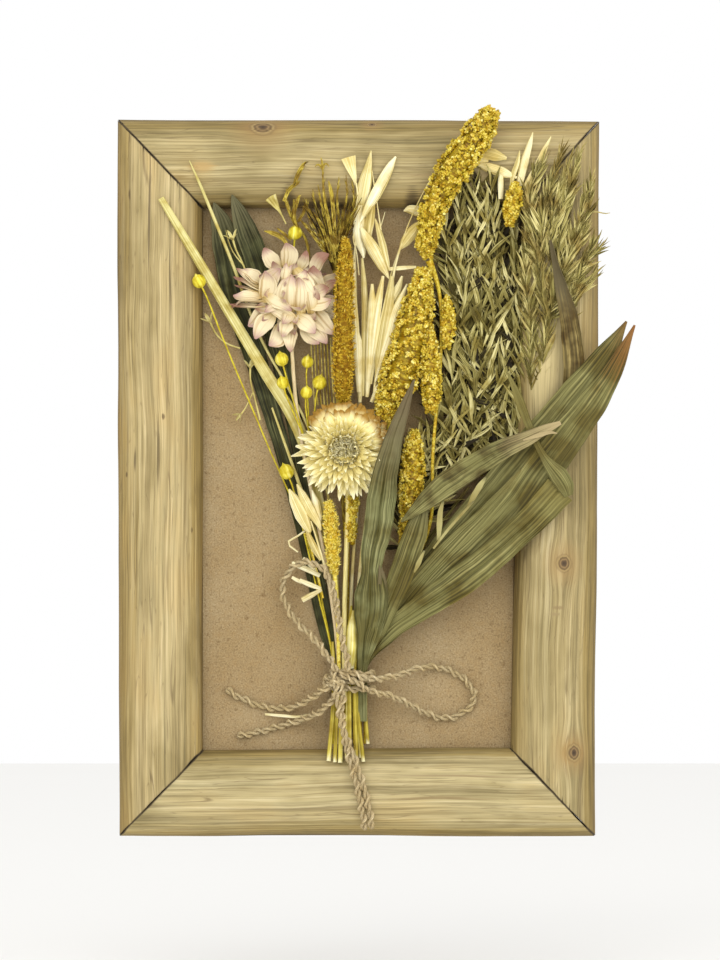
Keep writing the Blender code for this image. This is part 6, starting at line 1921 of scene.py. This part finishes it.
# --- Broad blades ---
# Long strap leaves, grey green and pleated lengthwise like a fan, which shrank into ridges as they dried.
# Their edges rolled a little and their points went rust brown or papery.
PLEATS = (0.10, 0.0, 0.01, -0.01, 0.035, 0.015, 0.01, -0.09, -0.01, 0.0, 0.03, 0.0, 0.01, 0.0, 0.09)
BLADE_STOPS = [(0.27, "#363216"), (0.42, "#5E5A30"), (0.56, "#807B48"), (0.74, "#ABA26A")]
blades = {
    "blade_tall": (12.0, ("#8A5E30", 0.93, 1.06), [
        (11.6, -61.2, 14.3, 3.8), (27.8, -39.2, 17.6, 6.0), (50.6, -13.5, 20.8, 7.4),
        (71.4, 11.4, 23.2, 7.8, -4),
        (90.0, 34.2, 24.8, 7.0, 4), (102.5, 50.8, 25.2, 4.8, 8), (110.8, 64.5, 25.4, 0.4),
    ]),
    "blade_rust": (12.85, ("#8F5524", 0.88, 1.02), [
        (13.6, -63.3, 15.7, 3.9), (35.6, -41.5, 19.6, 6.2), (61.0, -17.6, 22.8, 7.4),
        (81.8, 10.6, 25.6, 7.6, 6),
        (96.3, 30.1, 27.0, 6.0), (105.4, 44.6, 27.2, 4.0, -8), (114.1, 62.9, 27.4, 0.4),
    ]),
    "blade_rolled": (13.7, ("#7C6F3C", 0.86, 1.1), [
        (11.0, -62.0, 16.8, 2.6, 14), (21.6, -46.7, 19.3, 3.6, 24), (38.2, -28, 22.2, 3.6, 18),
        (54.8, -11.4, 24.0, 2.4, 26), (67.2, 3.1, 25.6, 0.4),
    ]),
    "blade_folded": (14.55, ("#85793F", 0.84, 1.1), [
        (10.8, -65.8, 17.0, 3.6), (25.2, -54.4, 20.2, 5.0), (44.1, -41.5, 23.0, 6.4),
        (64.9, -23.8, 25.4, 5.8, 4),
        (75.3, -13.7, 26.9, 6.0, 4), (83.3, -4.9, 28.0, 6.6),
    ]),
    "blade_back": (15.4, ("#6C6843", 0.85, 1.0), [
        (9.6, -60, 19.2, 3.8), (17.8, -39.8, 21.9, 5.0), (23.8, -22.6, 23.6, 4.8), (28.0, -8.6, 24.4, 1.4),
    ]),
}
for number, (node, (depth, tip, points)) in enumerate(blades.items()):
    green = dry_plant(
        "pleated strap leaf, " + node.replace("blade_", ""), BLADE_STOPS, veins=7, long=55, patch=16,
        faded="#BAA86E", tip=tip,
        rough=0.66, bump=0.45,
    )
    route = tied(1.9, depth, 1.7, LEAF_FOOT, LEAF_ABOVE_TIE) + points
    blade = make_strip(route,
        [lift + 0.03 * math.sin(5 * number + 2.2 * column) for column, lift in enumerate(PLEATS)], 90, 0.26,
        0.12, number, 15)
    if node == "blade_folded":
        # Past its crease the blade comes back over itself, narrow and brown.
        returned = make_strip([
            (86.8, -7.6, 28.5, 1.8), (85.4, -3.6, 29.3, 3.5), (82.6, 0.8, 29.8, 3.8, 4),
            (79.2, 4.8, 29.9, 2.6, 8), (76.2, 9.4, 29.8, 1.5),
            (73.2, 15.0, 29.4, 1.2), (70.0, 22.6, 28.8, 1.6, 10), (66.2, 32.8, 27.6, 1.8, -6),
            (61.8, 43.2, 26.4, 0.4),
        ], PLEATS, 70, 0.26, 0.12, 6, 11)
        set_value(returned, "end",
            [0.8 + 0.18 * point.value for point in returned.data.attributes["end"].data])
        blade = join_pieces([blade, returned])
    if node == "blade_back":
        # Pale slips of torn leaf are caught between the blades.
        slips = [
            [(45.2, -12.2, 25.6, 0.41), (47.7, -7.7, 26.2, 1.2), (50.2, -3.5, 26.4, 1.2),
                (52.7, 0.2, 26.4, 0.41)],
                [(33.2, -25.9, 25, 0.66), (33.6, -19.3, 25.6, 1.2), (34, -13.9, 25.8, 1.0),
                    (35.3, -9.3, 25.8, 0.33)],
            [(23.2, -39.2, 24.6, 0.33), (24.9, -35.5, 25.2, 1.0), (27.4, -30.1, 25.6, 0.37)],
            [(31.1, -29.3, 25.4, 0.41), (36.9, -21.8, 26.6, 0.58), (42.3, -15.6, 27.2, 0.54),
                (47.7, -9.8, 27.2, 0.33)],
        ]
        for step, slip_route in enumerate(slips):
            slip = make_strip(slip_route, (0.3, 0, 0.3), 16, 0.2, 0.1, 40 + step, 5)
            set_all(slip, "tone", 3.0)
            blade = join_pieces([blade, slip])
    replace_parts(stand_up(blade, node.replace("blade", "strap_leaf"), green), node)

# The torn leaf lies across the others: green at its point, then brown, and split and bleached at its end.
torn_skin = dry_plant(
    "torn strap leaf", BLADE_STOPS, veins=7, long=40, patch=9, faded="#A08E6A", tip=("#B3A074", 0.62, 1.0),
    rough=0.62,
    bump=0.4,
)
torn = make_strip(
    [
        (17.7, -18.3, 25.3, 0.3), (22.0, -14.8, 25.8, 1.9), (28.5, -9.2, 26.2, 3.9), (36.5, -2.7, 26.8, 5.0),
        (46.5, 4, 27.6, 5.0, 4),
        (58.9, 11.4, 29.2, 4.2, -6), (70.6, 16.6, 31.2, 2.9, 5), (77.4, 20.0, 31.9, 1.9),
        (83.4, 22.6, 32.0, 0.8, -8),
    ],
    PLEATS, 80, 0.24, 0.12, 11, 11,
)
split = make_strip(
    [(68.0, 15.4, 31.4, 0.3), (75.0, 17.6, 32.0, 1.0), (79.5, 18.6, 32.0, 0.6), (82.0, 18.2, 31.8, 0.15)],
    (0.3, 0, 0.3), 14, 0.2, 0.1, 3
)
set_all(split, "end", 0.98)
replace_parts(stand_up(join_pieces([torn, split]), "strap_leaf_torn", torn_skin), "leaf_torn")

# The front leaf is folded where it was squeezed: a wide foot by the tie, a pinch, and a long blade above.
front_skin = dry_plant(
    "folded strap leaf", [(0.25, "#26260F"), (0.42, "#5E5E36"), (0.57, "#868556"), (0.75, "#B6B17E")],
    veins=8, long=45, patch=14, faded="#B8AA78", tip=("#6C5E42", 0.66, 0.92), rough=0.6, bump=0.75,
)
front = make_strip(
    [
        (1.9, -101, 16.3, 1.7), (1.9, -92, 16.3, 1.7), (1.9, -79, 16.5, 1.9), (3.4, -68, 19.2, 3.6),
        (4.6, -57, 21.6, 6.0, -4),
        (5.2, -48, 22.8, 6.6, 6), (5.2, -38.5, 23.6, 4.2, 24), (6.4, -30, 24.6, 5.0, -8),
        (8.4, -19.8, 25.8, 5.9, -4),
        (9.7, -7.3, 27.4, 5.8, 4), (12.4, 7.3, 28.6, 4.6), (15.8, 19.7, 28.6, 3.3, 10),
        (19.5, 30.1, 27.8, 2.0, -10), (23.2, 40.5, 27.2, 0.3),
    ],
    [1.8 * lift for lift in PLEATS], 110, 0.26, 0.16, 21, 12,
)
side = make_strip(
    [(3.0, -77, 17.8, 0.8), (6.0, -66, 20.2, 3.0), (9.4, -54, 21.6, 2.8, 8), (10.0, -44, 22.4, 2.0),
        (9.0, -35, 23.2, 0.4)],
    PLEATS, 50, 0.24, 0.16, 23, 10,
)
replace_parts(stand_up(join_pieces([front, side]), "strap_leaf_front", front_skin), "leaf_front")


# --- Cut stems and straws ---
# The tied end: bright yellow hollow stems cut square, one still in its pale leaf sheath, and three short
# lengths of cream straw caught beside the tie.
stem_yellow = dry_plant(
    "dried stem, bright yellow", [(0.28, "#8C7A1E"), (0.43, "#B9A636"), (0.57, "#D8C95A"), (0.75, "#F1E9A6")],
    veins=3, long=50, patch=10, faded="#C7BA82", rough=0.5, base=("#F3ECC0", 0.06, 0.0),
)
stems = {
    "stalk_sheath": [(-3.6, -118.2, 18.6, 0.9), (-3.6, -92, 15.1, 0.9), (-3.6, -78, 15.1, 0.95),
        (-3.1, -70, 16.2, 1.4), (-2.9, -60, 16.4, 1.2), (-2.8, -53, 16.4, 0.4)],
    "stem_cut_left": [(-12.2, -117.3, 18.6, 0.9), (-10.2, -92, 15.1, 0.9), (-10.2, -78, 15.1, 0.9),
        (-10.6, -68, 15.2, 0.5)],
    "stem_cut_right": [(-0.7, -118.5, 18.6, 0.9), (-1.4, -92, 15.1, 0.9), (-1.4, -78, 15.1, 0.9),
        (-0.8, -70, 15.4, 0.8), (-0.2, -58, 15.6, 0.4)],
}
front_cuts = {
    "stalk_sheath": [
        [(-4.8, -116.4, 18.2, 0.7), (-4.6, -92, 14.8, 0.7), (-4.6, -80, 14.8, 0.7)],
        [(2.2, -117.6, 18.6, 0.75), (-0.4, -92, 15.4, 0.8), (-0.6, -80, 15.2, 0.8)],
    ],
    "stem_cut_left": [
        [(-9.6, -117.8, 18.8, 0.8), (-8.8, -92, 15.3, 0.8), (-8.8, -80, 15.2, 0.8)],
        [(-7.4, -118.0, 18.7, 0.95), (-7.0, -92, 15.3, 0.9), (-7.0, -80, 15.2, 0.9)],
    ],
    "stem_cut_right": [
        [(1.2, -116.0, 17.6, 0.7), (-0.6, -92, 14.2, 0.7), (-0.6, -80, 14.2, 0.7)],
        [(4.0, -110.4, 13.4, 0.8), (2.6, -92, 12.6, 0.8), (2.6, -80, 12.6, 0.8)],
    ],
}
for number, (node, points) in enumerate(stems.items()):
    parts = []
    for step, route in enumerate([points] + front_cuts[node]):
        stem = make_stalk(route, 12)
        set_all(stem, "tone", 0.8 * math.sin(number * 3 + step * 2))
        parts.append(stem)
    if node == "stalk_sheath":
        sheath = make_strip([(-3.2, -79, 16.8, 1.3), (-2.6, -70, 17.9, 2.6), (-2.3, -62, 17.9, 2.2),
            (-2.0, -55, 17.4, 0.3)], (-0.5, 0.1, 0.35, 0.42, 0.35, 0.1, -0.5), 18, 0.2, 0.1, 4)
        set_all(sheath, "tone", 1.0)
        parts.append(sheath)
    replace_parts(stand_up(join_pieces(parts),
        node.replace("stalk_sheath", "sheathed_stem").replace("stem_cut", "cut_stem"), stem_yellow),
        node)

straw_cream = dry_plant(
    "cut straw, cream", [(0.28, "#B7A56E"), (0.43, "#D9CD98"), (0.57, "#EDE5BE"), (0.75, "#FBF8E2")],
    veins=3, long=20, patch=9, faded="#DDD0A6", rough=0.5,
)
bits = {
    "straw_bit_1": [[(-27.4, -35.5, 15.8, 0.91), (-22, -37.6, 15.9, 1.2), (-15.8, -40.7, 15.9, 0.91)],
        [(-22.8, -33.4, 15.4, 0.66), (-19.9, -35.9, 15.6, 1.1), (-17.4, -39.2, 15.6, 0.41)]],
    "straw_bit_2": [[(-38.6, -98.4, 7.4, 0.5), (-31.5, -99, 7.8, 0.66), (-24.5, -99.4, 9, 0.58),
        (-19.9, -98.1, 12, 0.33)],
        [(-27.4, -41.3, 15.2, 0.66), (-25.3, -42.5, 15.3, 0.79), (-23.2, -43.4, 15.4, 0.75)],
        [(-24.3, -42.5, 15.8, 0.83), (-20.3, -44.2, 15.9, 1.1), (-15.4, -46.1, 15.9, 0.75)]],
    "straw_bit_3": [[(-23.2, -50.8, 15.6, 1.1), (-19.5, -48.8, 15.8, 1.2), (-15.1, -46.5, 15.9, 0.58)],
        [(-21.6, -21.8, 14.2, 0.37), (-25.7, -24.7, 14.6, 0.41), (-29, -27, 14.8, 0.46),
            (-27, -29.3, 14.8, 0.41), (-24.9, -30.9, 14.8, 0.29)]],
}
for node, routes in bits.items():
    parts = [make_stalk(route, 12, 0.6, 0.15) for route in routes]
    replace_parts(stand_up(join_pieces(parts), node.replace("straw_bit", "cut_straw"), straw_cream),
        node)


# --- End ---
# The patterns that were copied aren't part of the frame.
for pattern in (
    hair_pattern, pod_pattern, sepal_pattern, star_sepal, floret_pattern, bristle_pattern, grain_pattern,
    *cluster_patterns, *tuft_patterns,
    *spread_bracts, *closed_bracts, *bud_bracts, *thorn_bracts, *leaflet_patterns,
):
    bpy.data.objects.remove(pattern)
